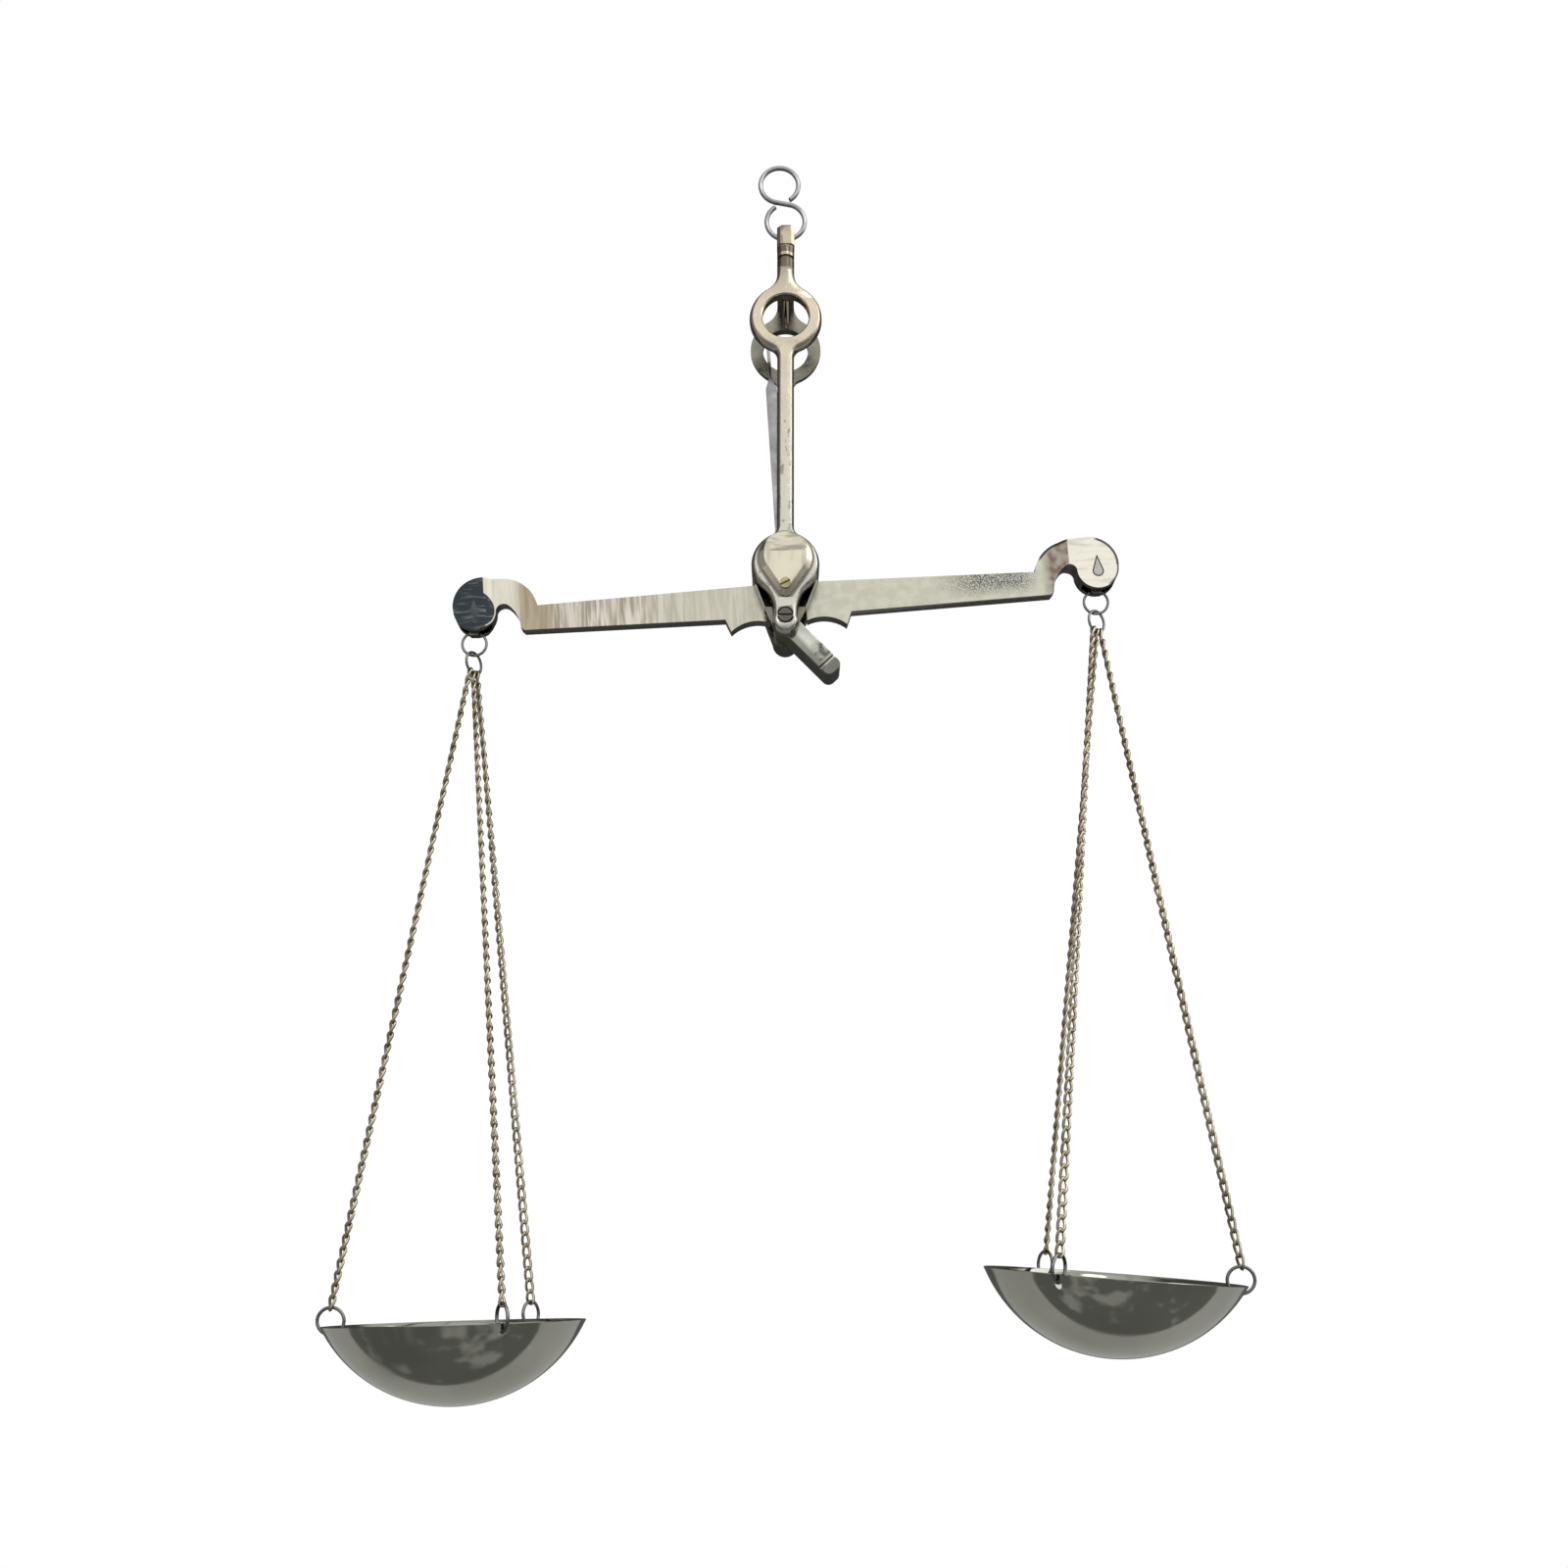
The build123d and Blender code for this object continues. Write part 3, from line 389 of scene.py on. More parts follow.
def fork_painted_shade_and_specks(tree, place):
    """Paint shade inside the fork and a shadow line round the cap, darken its top, fleck its shank.
    """
    x, y, z = split(tree, place)
    # Painted shade inside the fork, between the cheeks.
    inside = edge(tree, calculate(tree, "ABSOLUTE", y), 6.6, -0.4, 0.85)
    beside = calculate(tree, "ABSOLUTE", calculate(tree, "SUBTRACT", x, cap_centre.x))
    above = calculate(tree, "SUBTRACT", z, cap_centre.z)
    sunk = times(tree, above, -math.sin(cap_slant))
    straight = calculate(tree, "MULTIPLY_ADD", beside, math.cos(cap_slant), sunk)
    bowed = reach_from(tree, x, z, cap_centre.x / MM, cap_centre.z / MM)
    past_slant = calculate(tree, "MULTIPLY_ADD", beside, math.tan(cap_slant), above)
    on_round = edge(tree, past_slant, 0.0, 0.1)
    added = calculate(tree, "SUBTRACT", bowed, straight)
    reach = calculate(tree, "MULTIPLY_ADD", on_round, added, straight)
    # Painted shadow: a dark line on the cheek just outside the cap's outline.
    cap_painted_shadow_line = times(tree, edge(tree, reach, cap_round + 0.45, -0.1), edge(tree, above, -10, 0.1), 0.75)
    specks = ranged(tree, pattern(tree, place, 900, 4.0, (1, 1, 0.5)), 0.58, 0.66, 0.0, 0.6)
    low_shank = times(tree, edge(tree, z, -65, -3), specks)
    upper_neck = edge(tree, z, -22.3, 0.5, 0.85)
    # Also darker toward the top and on the upper neck, with specks on the lower shank.
    return most(tree, inside, cap_painted_shadow_line, low_shank, edge(tree, z, -33.75, 4.75, 0.4), upper_neck)


def pear_grey(tree, place):
    """Let the fork's warm tone go grey toward the pear at its foot."""
    return edge(tree, split(tree, place)["Z"], -72.5, -17.5, 0.75)


def lever_painted_shade_and_reflection(tree, place):
    """Paint shade on the lever's lower side, and a dark reflection in patches on its middle and on
    its thumb end, past its groove.
    """
    hub = pivots["lever_turn"]
    reach = compare(tree, "DISTANCE", place, (hub.x, -5 * MM, hub.z))
    # Painted reflection: dark patches on the middle of the lever, and its thumb end dark.
    blots = ranged(tree, pattern(tree, place, 420, 2.0), 0.42, 0.58, 1.0, 0.15)
    middle = times(tree, edge(tree, reach, 9.5, 1.0), edge(tree, reach, 13.6, -0.4), blots)
    lean = math.radians(42)
    upward = Vector((math.cos(lean), 0, math.sin(lean)))
    height = calculate(
        tree, "SUBTRACT", compare(tree, "DOT_PRODUCT", place, upward), hub.dot(upward)
    )
    # Painted shade along the lever's lower side.
    underside_painted_shade = edge(tree, height, -0.35, -0.55, 0.7)
    return most(tree, middle, underside_painted_shade, edge(tree, reach, 15.1, 0.4, 0.85))


def dome_painted_reflection(tree, place):
    """Lay level dark streaks of painted reflection over a cap's dome and faint upright ones under
    its crease.
    """
    over = edge(tree, split(tree, place)["Z"], cap_centre.z / MM + cap_crease, 0.05)
    level = ranged(tree, pattern(tree, place, 420, 2.0, (0.35, 1, 1.3)), 0.46, 0.62, 0.0, 0.6)
    upright = ranged(tree, pattern(tree, place, 420, 2.0, (1.2, 1, 0.25)), 0.48, 0.66, 0.0, 0.3)
    under = times(tree, calculate(tree, "SUBTRACT", 1.0, over), upright)
    return calculate(tree, "MULTIPLY_ADD", over, level, under)


# %% Finishes
# Each has its tone, the tone where it is thin, its roughness, then scratches and pits.
hook_steel = plated_metal(
    "hook wire steel", (0.6, 0.6, 0.59), (0.42, 0.42, 0.41), (0.1, 0.2), 0.3, 0.1, side=0.2
)
stud_nickel = plated_metal(
    "stud nickel", (0.66, 0.57, 0.42), (0.36, 0.31, 0.25), (0.12, 0.24), 0.3, 0.2,
    shade=stud_painted_shade,
)
fork_nickel = plated_metal(
    "fork nickel", (0.82, 0.72, 0.54), (0.7, 0.64, 0.53), (0.14, 0.3), 0.5, 0.5,
    depth=4e-5, shade=fork_painted_shade_and_specks, grey=pear_grey,
)
# Painted shade: the rear cheek is the same nickel as the front one, in a darker tone, as it lies in
# shade.
rear_shaded_nickel = plated_metal(
    "rear cheek nickel in painted shade", (0.36, 0.34, 0.27), (0.26, 0.25, 0.21), (0.2, 0.36), 0.5, 0.5, depth=3e-5
)
cap_nickel = plated_metal(
    "warm cap nickel", (0.84, 0.79, 0.62), (0.72, 0.68, 0.54), (0.1, 0.2), 0.2, 0.15,
    depth=1e-5, side=0.7, shade=dome_painted_reflection,
)
lever_chrome = plated_metal(
    "lever chrome", (0.76, 0.77, 0.67), (0.5, 0.5, 0.44), (0.06, 0.16), 0.2, 0.1,
    depth=1e-5, shade=lever_painted_shade_and_reflection,
)
screw_brass = plated_metal(
    "yellow screw brass", (0.6, 0.52, 0.28), (0.34, 0.3, 0.17), (0.2, 0.35), 0.4, 0.3
)
screw_steel = plated_metal(
    "dark screw steel", (0.17, 0.16, 0.13), (0.1, 0.095, 0.08), (0.2, 0.4), 0.5, 0.4
)
knife_steel = plated_metal(
    "knife steel", (0.6, 0.6, 0.57), (0.4, 0.4, 0.4), (0.2, 0.35), 0.5, 0.1
)
dark_knife_steel = plated_metal(
    "dark knife steel", (0.11, 0.12, 0.13), (0.07, 0.08, 0.08), (0.25, 0.4), 0.5, 0.1
)
pointer_steel = plated_metal(
    "pointer steel", (0.55, 0.55, 0.53), (0.3, 0.3, 0.3), (0.12, 0.26), 0.4, 0.2
)
ring_steel = plated_metal(
    "ring steel", (0.34, 0.34, 0.33), (0.18, 0.18, 0.18), (0.18, 0.32), 0.3, 0.1
)
chain_brass = plated_metal(
    "old chain plating", (0.78, 0.69, 0.5), (0.44, 0.37, 0.25), (0.16, 0.3), 0.3, 0.2
)
bearing_steel = plated_metal(
    "bearing steel", (0.4, 0.4, 0.4), (0.25, 0.25, 0.25), (0.2, 0.3), 0.3, 0.1
)
print("finishes:", len(bpy.data.materials))

# %% [markdown]
# ## The beam's plating
# The beam is one forging, yet its two arms look different. The left arm is greyer with upright
# streaks, a painted highlight on its crest and a tan stain near its neck. The right arm is an
# even pale grey green that goes speckled toward its box, with a painted brown reflection and a
# black painted shadow by the box. The face of the left box has a dark painted reflection,
# scratched along, the face of the right box is cream, and a painted shade line runs round it.
# Walls turned aside get painted shade. Each area is a soft mask on the object coordinates,
# turned so that x runs along the tilted beam.

# %% Beam finish
beam_tilt = math.radians(4.1)
arm = 76.2
beam_centre = (pivots["left_stirrup_swing"] + pivots["right_stirrup_swing"]) / 2
# Each arc has its centre and radius, then the edges that it keeps to, along and above, in mm.
end_arcs = {
    "crest": ((arm - 2.1, -1.8), 6.7, (arm - 0.1, 0.5), (-2.2, 0.1)),
    "arch": ((arm - 6.7, -3.3), 8.0, (arm - 6.85, -0.15), (1.0, 0.5)),
    "disc": ((arm, -2.6), 4.7, (arm + 2.5, 0.5), (-2.2, -0.1)),
}


def box_painted_shade_line(tree, x, z):
    """Give the painted shade, a dark line that runs round the arch, the crest and the disc of the
    right end.
    """
    lines = [
        times(
            tree,
            edge(tree, reach_from(tree, x, z, *centre), radius, 0.1),
            edge(tree, x, *beside),
            edge(tree, z, *above),
        )
        for centre, radius, beside, above in end_arcs.values()
    ]
    return times(tree, most(tree, *lines), edge(tree, x, 59, 1))


def left_arm_tone(tree, along, x, z):
    """Give the left arm its upright streaks, a calm stretch, a painted highlight on its crest and a
    tan stain.
    """
    streak = pattern(tree, along, 1500, 3.0, (1, 0.2, 0.06))
    broad = pattern(tree, along, 220, 2.0, (1, 0.3, 0.1))
    # Painted highlight: the crest at the left end is lighter.
    crest = times(tree, edge(tree, x, -65.25, -1.25), edge(tree, z, -6.25, 1.25), 0.8)
    stain = times(tree, edge(tree, x, -57, -0.8), edge(tree, x, -65.3, 0.7), 0.75)
    return layered(
        tree,
        mixed(tree, ranged(tree, streak, 0.4, 0.58), (0.42, 0.37, 0.28), (0.82, 0.78, 0.68)),
        (edge(tree, x, -32, 8, 0.75), (0.66, 0.64, 0.53)),
        (ranged(tree, broad, 0.45, 0.75, 0.0, 0.8), (0.62, 0.58, 0.48)),
        (crest, (0.84, 0.8, 0.66)),
        (stain, (0.42, 0.33, 0.21)),
    )


def right_arm_tone(tree, along, x, z):
    """Give the right arm its even tone and its speckles, and a painted brown reflection and black
    shadow near its box.
    """
    cloud = pattern(tree, along, 500, 5.0)
    speckle = ranged(tree, pattern(tree, along, 2600, 4.0), 0.4, 0.56)
    blotch = ranged(tree, pattern(tree, along, 500, 2.0), 0.38, 0.62, 0.45, 1.0)
    mottled = times(tree, edge(tree, x, 41, 5), edge(tree, x, 59.5, -2), edge(tree, z, -6.15, 1.65))
    notch_painted_shadow = times(tree, edge(tree, x, 65.35, 0.85), edge(tree, z, -5.3, -0.5), 0.9)
    return layered(
        tree,
        mixed(tree, ranged(tree, cloud, 0.4, 0.62), (0.62, 0.61, 0.5), (0.7, 0.69, 0.57)),
        (times(tree, mottled, speckle), (0.14, 0.14, 0.13)),
        # Painted reflection: brown blotches on the step before the box.
        (times(tree, edge(tree, x, 63.75, 1.25), blotch), (0.24, 0.18, 0.14)),
        # Painted shadow: near black in the notch by the box.
        (notch_painted_shadow, (0.04, 0.04, 0.035)),
    )


def knife_shadow(tree, x, z):
    """Give the dark place round the right end knife: a round foot under two straight flanks."""
    beside = calculate(tree, "ABSOLUTE", calculate(tree, "SUBTRACT", x, arm * MM))
    above = calculate(tree, "SUBTRACT", z, 0.93 * MM)
    past_flank = calculate(tree, "MULTIPLY_ADD", beside, 2.92, above)
    flanks = times(tree, edge(tree, past_flank, -0.05, -0.05), edge(tree, z, -3.05, 0.05))
    foot = edge(tree, reach_from(tree, x, z, arm, -3.4), 1.4, -0.02)
    return most(tree, flanks, foot)


def beam_plating():
    """Make the beam's finish, area by area."""
    material, tree, shader, place = start_metal("beam nickel")
    level_beam = {"Vector": place, "Location": beam_centre, "Rotation": (0, -beam_tilt, 0)}
    along = add_node(tree, "ShaderNodeMapping", level_beam, vector_type="TEXTURE").outputs[0]
    x, y, z = split(tree, along)
    face = edge(tree, calculate(tree, "ABSOLUTE", y), 2.55, 0.03)
    # Painted reflection: the left end's face and disc take a dark tone, rubbed along, as if
    # mirroring something dark.
    left_disc = edge(tree, reach_from(tree, x, z, -arm, -2.6), 4.8, -0.05)
    left_painted_reflection = most(tree, times(tree, face, edge(tree, x, -70.25, -0.25)), left_disc)
    right_face = times(tree, face, edge(tree, x, 66.75, 0.25))
    rubbed = pattern(tree, along, 1400, 3.0, (0.12, 1, 1), (0, 0.12, 0))
    dark = mixed(tree, ranged(tree, rubbed, 0.55, 0.72), (0.045, 0.055, 0.062), (0.2, 0.22, 0.22))
    cream = mixed(tree, ranged(tree, rubbed, 0.5, 0.75), (0.95, 0.91, 0.78), (0.66, 0.62, 0.52))
    left, right = left_arm_tone(tree, along, x, z), right_arm_tone(tree, along, x, z)
    tone = layered(
        tree,
        mixed(tree, edge(tree, x, 0, 6), left, right),
        (left_painted_reflection, dark),
        (right_face, cream),
        (times(tree, right_face, knife_shadow(tree, x, z)), (0.02, 0.02, 0.02)),
        # Painted shade: a dark line round the right end's arch, crest and disc.
        (times(tree, box_painted_shade_line(tree, x, z), 0.9), (0.03, 0.03, 0.03)),
    )
    # Painted shade: walls turned aside from front and back take a dark tone.
    tone = mixed(tree, facing(tree, 0.3, 0.75), (0.16, 0.155, 0.14), tone)
    tree.links.new(tone, shader.inputs["Base Color"])
    wear(tree, shader, along, (0.18, 0.34), 0.5, 0.3, 3e-5, grain=(1, 1, 0.25))
    return material


beam_nickel = beam_plating()
print("beam centre in mm:", [round(x / MM, 2) for x in beam_centre])

# %% [markdown]
# ## The pans' steel
# The pans are spun from thin sheet and polished like a mirror, a dark olive steel. Only a
# trace of waviness remains from the spinning tool, and a faint haze. The tone is dark because
# the light parts of such a bowl are the room that it mirrors.


# %% Pan finish
def pan_polish():
    """Make the pans' dark mirror finish."""
    material, tree, shader, place = start_metal("pan steel")
    haze = ranged(tree, pattern(tree, place, 60, 3.0), 0.35, 0.7)
    tone = mixed(tree, haze, (0.45, 0.45, 0.39), (0.36, 0.36, 0.31))
    tree.links.new(tone, shader.inputs["Base Color"])
    tree.links.new(ranged(tree, haze, 0.0, 1.0, 0.07, 0.16), shader.inputs["Roughness"])
    emboss(tree, shader, pattern(tree, place, 90, 2.0), 6e-5, 0.5)
    return material


pan_steel = pan_polish()
print("last finish:", pan_steel.name)

# %% [markdown]
# ## Pieces that keep their shape
# The stud, crown, screws, lever, beam, pointer and stirrups are right as they are, but their
# edges are razor sharp, and real ones catch the light. Each is copied, its loose triangles are
# merged, and a narrow bevel rounds every true edge. The curved walls are shaded smooth across
# their flats. Changing the frame's own meshes was not a choice, so the copy stands in for them.

# %% Mesh helpers
same_place = 1e-6
same_plane = math.radians(0.5)


def copied(node):
    """Open a copy of a piece of the frame with its doubled corners merged."""
    shape = bmesh.new()
    shape.from_mesh(frame["nodes"][node].data)
    bmesh.ops.remove_doubles(shape, verts=shape.verts, dist=same_place)
    return shape


def merge_flats(shape):
    """Merge the triangles of every flat face."""
    bmesh.ops.dissolve_limit(shape, angle_limit=same_plane, verts=shape.verts, edges=shape.edges)


def close_shape(shape, name):
    """Turn drawn faces into a mesh."""
    mesh = bpy.data.meshes.new(name)
    shape.to_mesh(mesh)
    shape.free()
    return mesh


def coat(mesh, finish, sharp):
    """Give a mesh its finish and shade it smooth up to an angle in degrees."""
    mesh.shade_smooth()
    mesh.set_sharp_from_angle(angle=math.radians(sharp))
    mesh.materials.clear()
    mesh.materials.append(finish)


def dress(piece, node, body):
    """Let a piece ride a body and stand in for a node, which it hides."""
    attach(piece, body)
    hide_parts(node)
    return piece


# %% Softened copies
crease = 32


def soften(node, body, finish, bevel):
    """Copy a piece of the frame with merged, softly bevelled edges."""
    shape = copied(node)
    merge_flats(shape)
    mesh = close_shape(shape, node + "_soft")
    coat(mesh, finish, crease)
    piece = add_object(node + "_soft", mesh)
    worn = piece.modifiers.new("worn edge", "BEVEL")
    worn.width = bevel * MM
    worn.segments = 3
    worn.limit_method = "ANGLE"
    worn.angle_limit = math.radians(crease)
    worn.harden_normals = True
    return dress(piece, node, body)


# Each has its body, finish and slot, and the width of its worn edge in mm.
softened = [
    ("swivel_stud", "swivel", stud_nickel, "stud_plating", 0.12),
    ("swivel_collar", "swivel", stud_nickel, "stud_plating", 0.1),
    ("fork_crown", "fork", fork_nickel, "fork_plating", 0.12),
    ("cap_screws", "fork", screw_brass, "screw_steel", 0.06),
    ("lever_screw", "fork", screw_steel, "screw_steel", 0.08),
    ("arrest_lever", "lever", lever_chrome, "lever_chrome", 0.7),
    ("beam", "beam", beam_nickel, "beam_plating", 0.75),
    ("pointer", "beam", pointer_steel, "pointer_steel", 0.08),
    ("left_stirrup", "left_stirrup", ring_steel, "ring_steel", 0.05),
    ("right_stirrup", "right_stirrup", ring_steel, "ring_steel", 0.05),
]
for node, body, finish, slot, bevel in softened:
    piece = soften(node, body, finish, bevel)
    print(node, len(piece.data.vertices), "corners")

# %% [markdown]
# ## Cheeks
# A cheek is a thick pear shaped box behind a flat plate, and the plate is what the eye reads:
# a round window, hollow sweeps into the neck and the shank, and flanks that curve in hollow
# from the pear to the small lower round. The frame's cheek gives the box. Its plate is cut
# off and drawn again from arcs, with a rounded edge. A bevel modifier left dark seams on such
# a plate, so the edge is drawn too, as outlines that are moved in and fall away step by step.
# Each arc knows how far in it is moved, so they all come from one outline.

# %% Cheek sizes
neck_half, shank_half, waist_half = 2.1, 2.05, 2.9
ring_round, pear_round, lobe_round = 8.9, 8.2, 3.15
neck_sweep, shank_sweep, flank_sweep = 5.0, 2.4, 8.0
window_v, lobe_v, crown_v = 64.0, -14.4, 78.2
window_half, window_eased, window_ease = 5.75, 6.05, 0.3
screw_v, seat_half, drill_half, seat_deep = -13.3, 2.05, 1.02, 1.1
bearing_v, bearing_half = 2.2, 3.42
cap_drill_v, cap_drill_half = -6.3, 0.72
cheek_face, cheek_back, cheek_bend = 8.5, 6.1, 2.2
crown_steps, crown_hair = (0, 0.15, 0.4, 0.8, 1.3, 1.8), 0.01
# How far in each outline of the rounded edge lies, and how far it has fallen.
cheek_edge = [
    (1.0, 0.0), (0.85, 0.06), (0.72, 0.16), (0.5, 0.42), (0.28, 0.75), (0.1, 1.2), (0.0, 1.6)
]


# %% Cheek outline
def sweep(centre, radius, start, end, count):
    """Give points on an arc, the angles in degrees."""
    angles = [math.radians(start + (end - start) * step / count) for step in range(count + 1)]
    return [(centre[0] + radius * math.cos(a), centre[1] + radius * math.sin(a)) for a in angles]


def circle(centre, radius, count=64):
    """Give points on a full circle, anticlockwise."""
    return sweep(centre, radius, 0, 360, count)[:-1]


def hollow(beside, reach, round_radius, centre_v, above):
    """Give the centre of a hollow sweep between a side line and a round, and its bearing."""
    across = beside + reach
    drop = math.sqrt((round_radius + reach) ** 2 - across**2)
    centre = (across, centre_v + (drop if above else -drop))
    return centre, math.degrees(math.atan2(centre[1] - centre_v, across))


def cheek_outline(inset):
    """Give the plate's outline, moved in by the inset, clockwise from the top."""
    neck, neck_way = hollow(neck_half, neck_sweep, ring_round, window_v, True)
    upper, upper_way = hollow(shank_half, shank_sweep, ring_round, window_v, False)
    lower, lower_way = hollow(shank_half, shank_sweep, pear_round, 0.0, True)
    flank, flank_way = hollow(waist_half, flank_sweep, pear_round, 0.0, False)
    lobe_start = math.degrees(math.acos((waist_half - inset) / (lobe_round - inset)))
    half = [(neck_half - inset, crown_v - step) for step in crown_steps]
    half += sweep(neck, neck_sweep + inset, 180, 180 + neck_way, 10)
    half += sweep((0, window_v), ring_round - inset, neck_way, upper_way, 40)[1:]
    half += sweep(upper, shank_sweep + inset, 180 + upper_way, 180, 8)[1:]
    half += sweep(lower, shank_sweep + inset, 180, 180 + lower_way, 8)
    half += sweep((0, 0), pear_round - inset, lower_way, flank_way, 40)[1:]
    half += sweep(flank, flank_sweep + inset, 180 + flank_way, 180, 14)[1:]
    half += sweep((0, lobe_v), lobe_round - inset, lobe_start, -90, 20)
    return half + [(-u, v) for u, v in reversed(half[:-1])]


def face_depth(v):
    """Give how far out the plate's face stands, which turns in at the crown."""
    over = max(0.0, v - (crown_v - cheek_bend))
    return cheek_face - cheek_bend + math.sqrt(max(0.0, cheek_bend**2 - over**2))


print("outline points:", len(cheek_outline(0.0)))


# %% Cheek pieces
def band(shape, first, second):
    """Join two closed rings of corners by a band of faces."""
    for index in range(len(first)):
        after = (index + 1) % len(first)
        shape.faces.new((first[index], first[after], second[after], second[index]))


def fill(shape, outlines, rings):
    """Close the face that lies between an outline and the holes in it."""
    flat = [vert for loop in rings for vert in loop]
    loops = [[Vector((u, v, 0)) for u, v in outline] for outline in outlines]
    for corners in tessellate_polygon(loops):
        shape.faces.new([flat[corner] for corner in corners])


def cut_plate_off(shape, side):
    """Keep only the box of a cheek, open toward its plate."""
    cut = side * cheek_back * MM
    parts = shape.verts[:] + shape.edges[:] + shape.faces[:]
    bmesh.ops.bisect_plane(
        shape, geom=parts, plane_co=(0, cut, 0), plane_no=(0, side, 0), clear_outer=True
    )
    at_cut = [f for f in shape.faces if all(abs(v.co.y - cut) < same_place for v in f.verts)]
    bmesh.ops.delete(shape, geom=at_cut, context="FACES")


def make_cheek(name, node, side, finish):
    """Keep the box of a cheek and draw its plate again, on the front (side -1) or rear (side 1)."""
    shape = copied(node)
    cut_plate_off(shape, side)
    merge_flats(shape)

    def corner(u, v, depth):
        return shape.verts.new((pivot.x + u * MM, side * depth * MM, pivot.z + v * MM))

    def ring(points, depth):
        return [corner(u, v, depth) for u, v in points]

    def edge_ring(inset, fall, lowest):
        return [corner(u, v, max(lowest, face_depth(v) - fall)) for u, v in cheek_outline(inset)]

    sides, face = cheek_outline(0.0), cheek_outline(cheek_edge[0][0])
    face_ring = last_ring = edge_ring(*cheek_edge[0], cheek_back)
    for step, (inset, fall) in enumerate(cheek_edge[1:]):
        # At the crown the face turns in, so each outline keeps a hair above the one after it.
        next_ring = edge_ring(inset, fall, cheek_back + crown_hair * (6 - step))
        band(shape, last_ring, next_ring)
        last_ring = next_ring
    back_ring = ring(sides, cheek_back)
    band(shape, last_ring, back_ring)

    # Every hole is a list of circles, from the face to the back, each at its depth.
    window, drill = circle((0, window_v), window_half), circle((0, screw_v), drill_half)
    eased, seat = circle((0, window_v), window_eased), circle((0, screw_v), seat_half)
    bearing = circle((0, bearing_v), bearing_half)
    cap_drill = circle((0, cap_drill_v), cap_drill_half)
    seat_depth = cheek_face - seat_deep
    holes = [
        [(eased, cheek_face), (window, cheek_face - window_ease), (window, cheek_back)],
        [(seat, cheek_face), (seat, seat_depth), (drill, seat_depth), (drill, cheek_back)],
        [(bearing, cheek_face), (bearing, cheek_back)],
        [(cap_drill, cheek_face), (cap_drill, cheek_back)],
    ]
    hole_rings = [[ring(points, depth) for points, depth in hole] for hole in holes]
    for rings in hole_rings:
        for first, second in zip(rings, rings[1:]):
            band(shape, first, second)
    for outline, ring_of_it, end in ((face, face_ring, 0), (sides, back_ring, -1)):
        outlines = [outline] + [hole[end][0] for hole in holes]
        fill(shape, outlines, [ring_of_it] + [rings[end] for rings in hole_rings])
    bmesh.ops.recalc_face_normals(shape, faces=shape.faces)
    mesh = close_shape(shape, name)
    coat(mesh, finish, 20)
    return dress(add_object(name, mesh), node, "fork")


for name, node, side, finish in (
    ("front_cheek_drawn", "front_cheek", -1, fork_nickel),
    ("rear_cheek_drawn", "rear_cheek", 1, rear_shaded_nickel),
):
    cheek = make_cheek(name, node, side, finish)
    print(name, len(cheek.data.vertices), "corners")

# %% [markdown]
# ## Pieces that stay as they are
# The hard bearings and the three knife edges are ground crisp, and they sit almost hidden, so
# the frame's own solids are shown, with only a finish given to them.

# %% Bare frame pieces
bare = {
    "front_bearing": bearing_steel,
    "rear_bearing": bearing_steel,
    "centre_knife": knife_steel,
    "left_end_knife": dark_knife_steel,
    "right_end_knife": knife_steel,
}
for node, finish in bare.items():
    slots = frame["nodes"][node].data.materials
    slots.clear()
    slots.append(finish)
print("bare pieces:", len(bare))

# %% [markdown]
# ## Domed caps
# A cast cap closes each bearing. Its outline is a large round above a small one. From the
# outline it rises over a rounded shoulder to a flat, and above a level crease the flat falls
# back in a shallow dome. A bevelled block could not show that slow turn of the surface, so the
# cap is built as nested outlines, each a little further in and a little higher.

# %% Cap form
round_share = 0.62
cap_skirt, cap_top = 0.45, 1.76
flank_rise, dome_fall = 0.94, 0.25
skirt_round, skirt_drop = 0.1, 0.06
shoulder = 0.1
cap_insets = (0.0, 0.06, 0.15, 0.35, 0.6, 0.85, 1.05, 1.2, 1.3, 1.4, 1.5, 1.65, 1.9, 2.2)
foot_v, foot_end_v = -6.6, -5.0


def pear_outline(inset, count=96):
    """Give points round the cap's outline, moved in by the inset, in millimetres."""
    large, small = cap_round - inset, cap_foot - inset
    reach = math.pi / 2 + cap_slant
    points = []
    for index in range(count):
        share = index / count
        if share < round_share:
            angle = math.pi / 2 - reach + 2 * reach * share / round_share
            points.append((large * math.cos(angle), large * math.sin(angle)))
        else:
            past = (share - round_share) / (1 - round_share)
            angle = math.pi / 2 + reach + 2 * (math.pi - reach) * past
            points.append((small * math.cos(angle), small * math.sin(angle) - cap_spacing))
    return points


def cap_height(inset, v):
    """Give the cap's height: a flank that rises to a flat, which falls back above the crease."""
    flank = cap_skirt + flank_rise * inset - skirt_drop * max(0.0, 1 - inset / skirt_round)
    flat = cap_top - dome_fall * max(0.0, v - cap_crease)
    mix = max(0.0, min(1.0, 0.5 + 0.5 * (flank - flat) / shoulder))
    return flank * (1 - mix) + flat * mix - shoulder * mix * (1 - mix) * 0.5


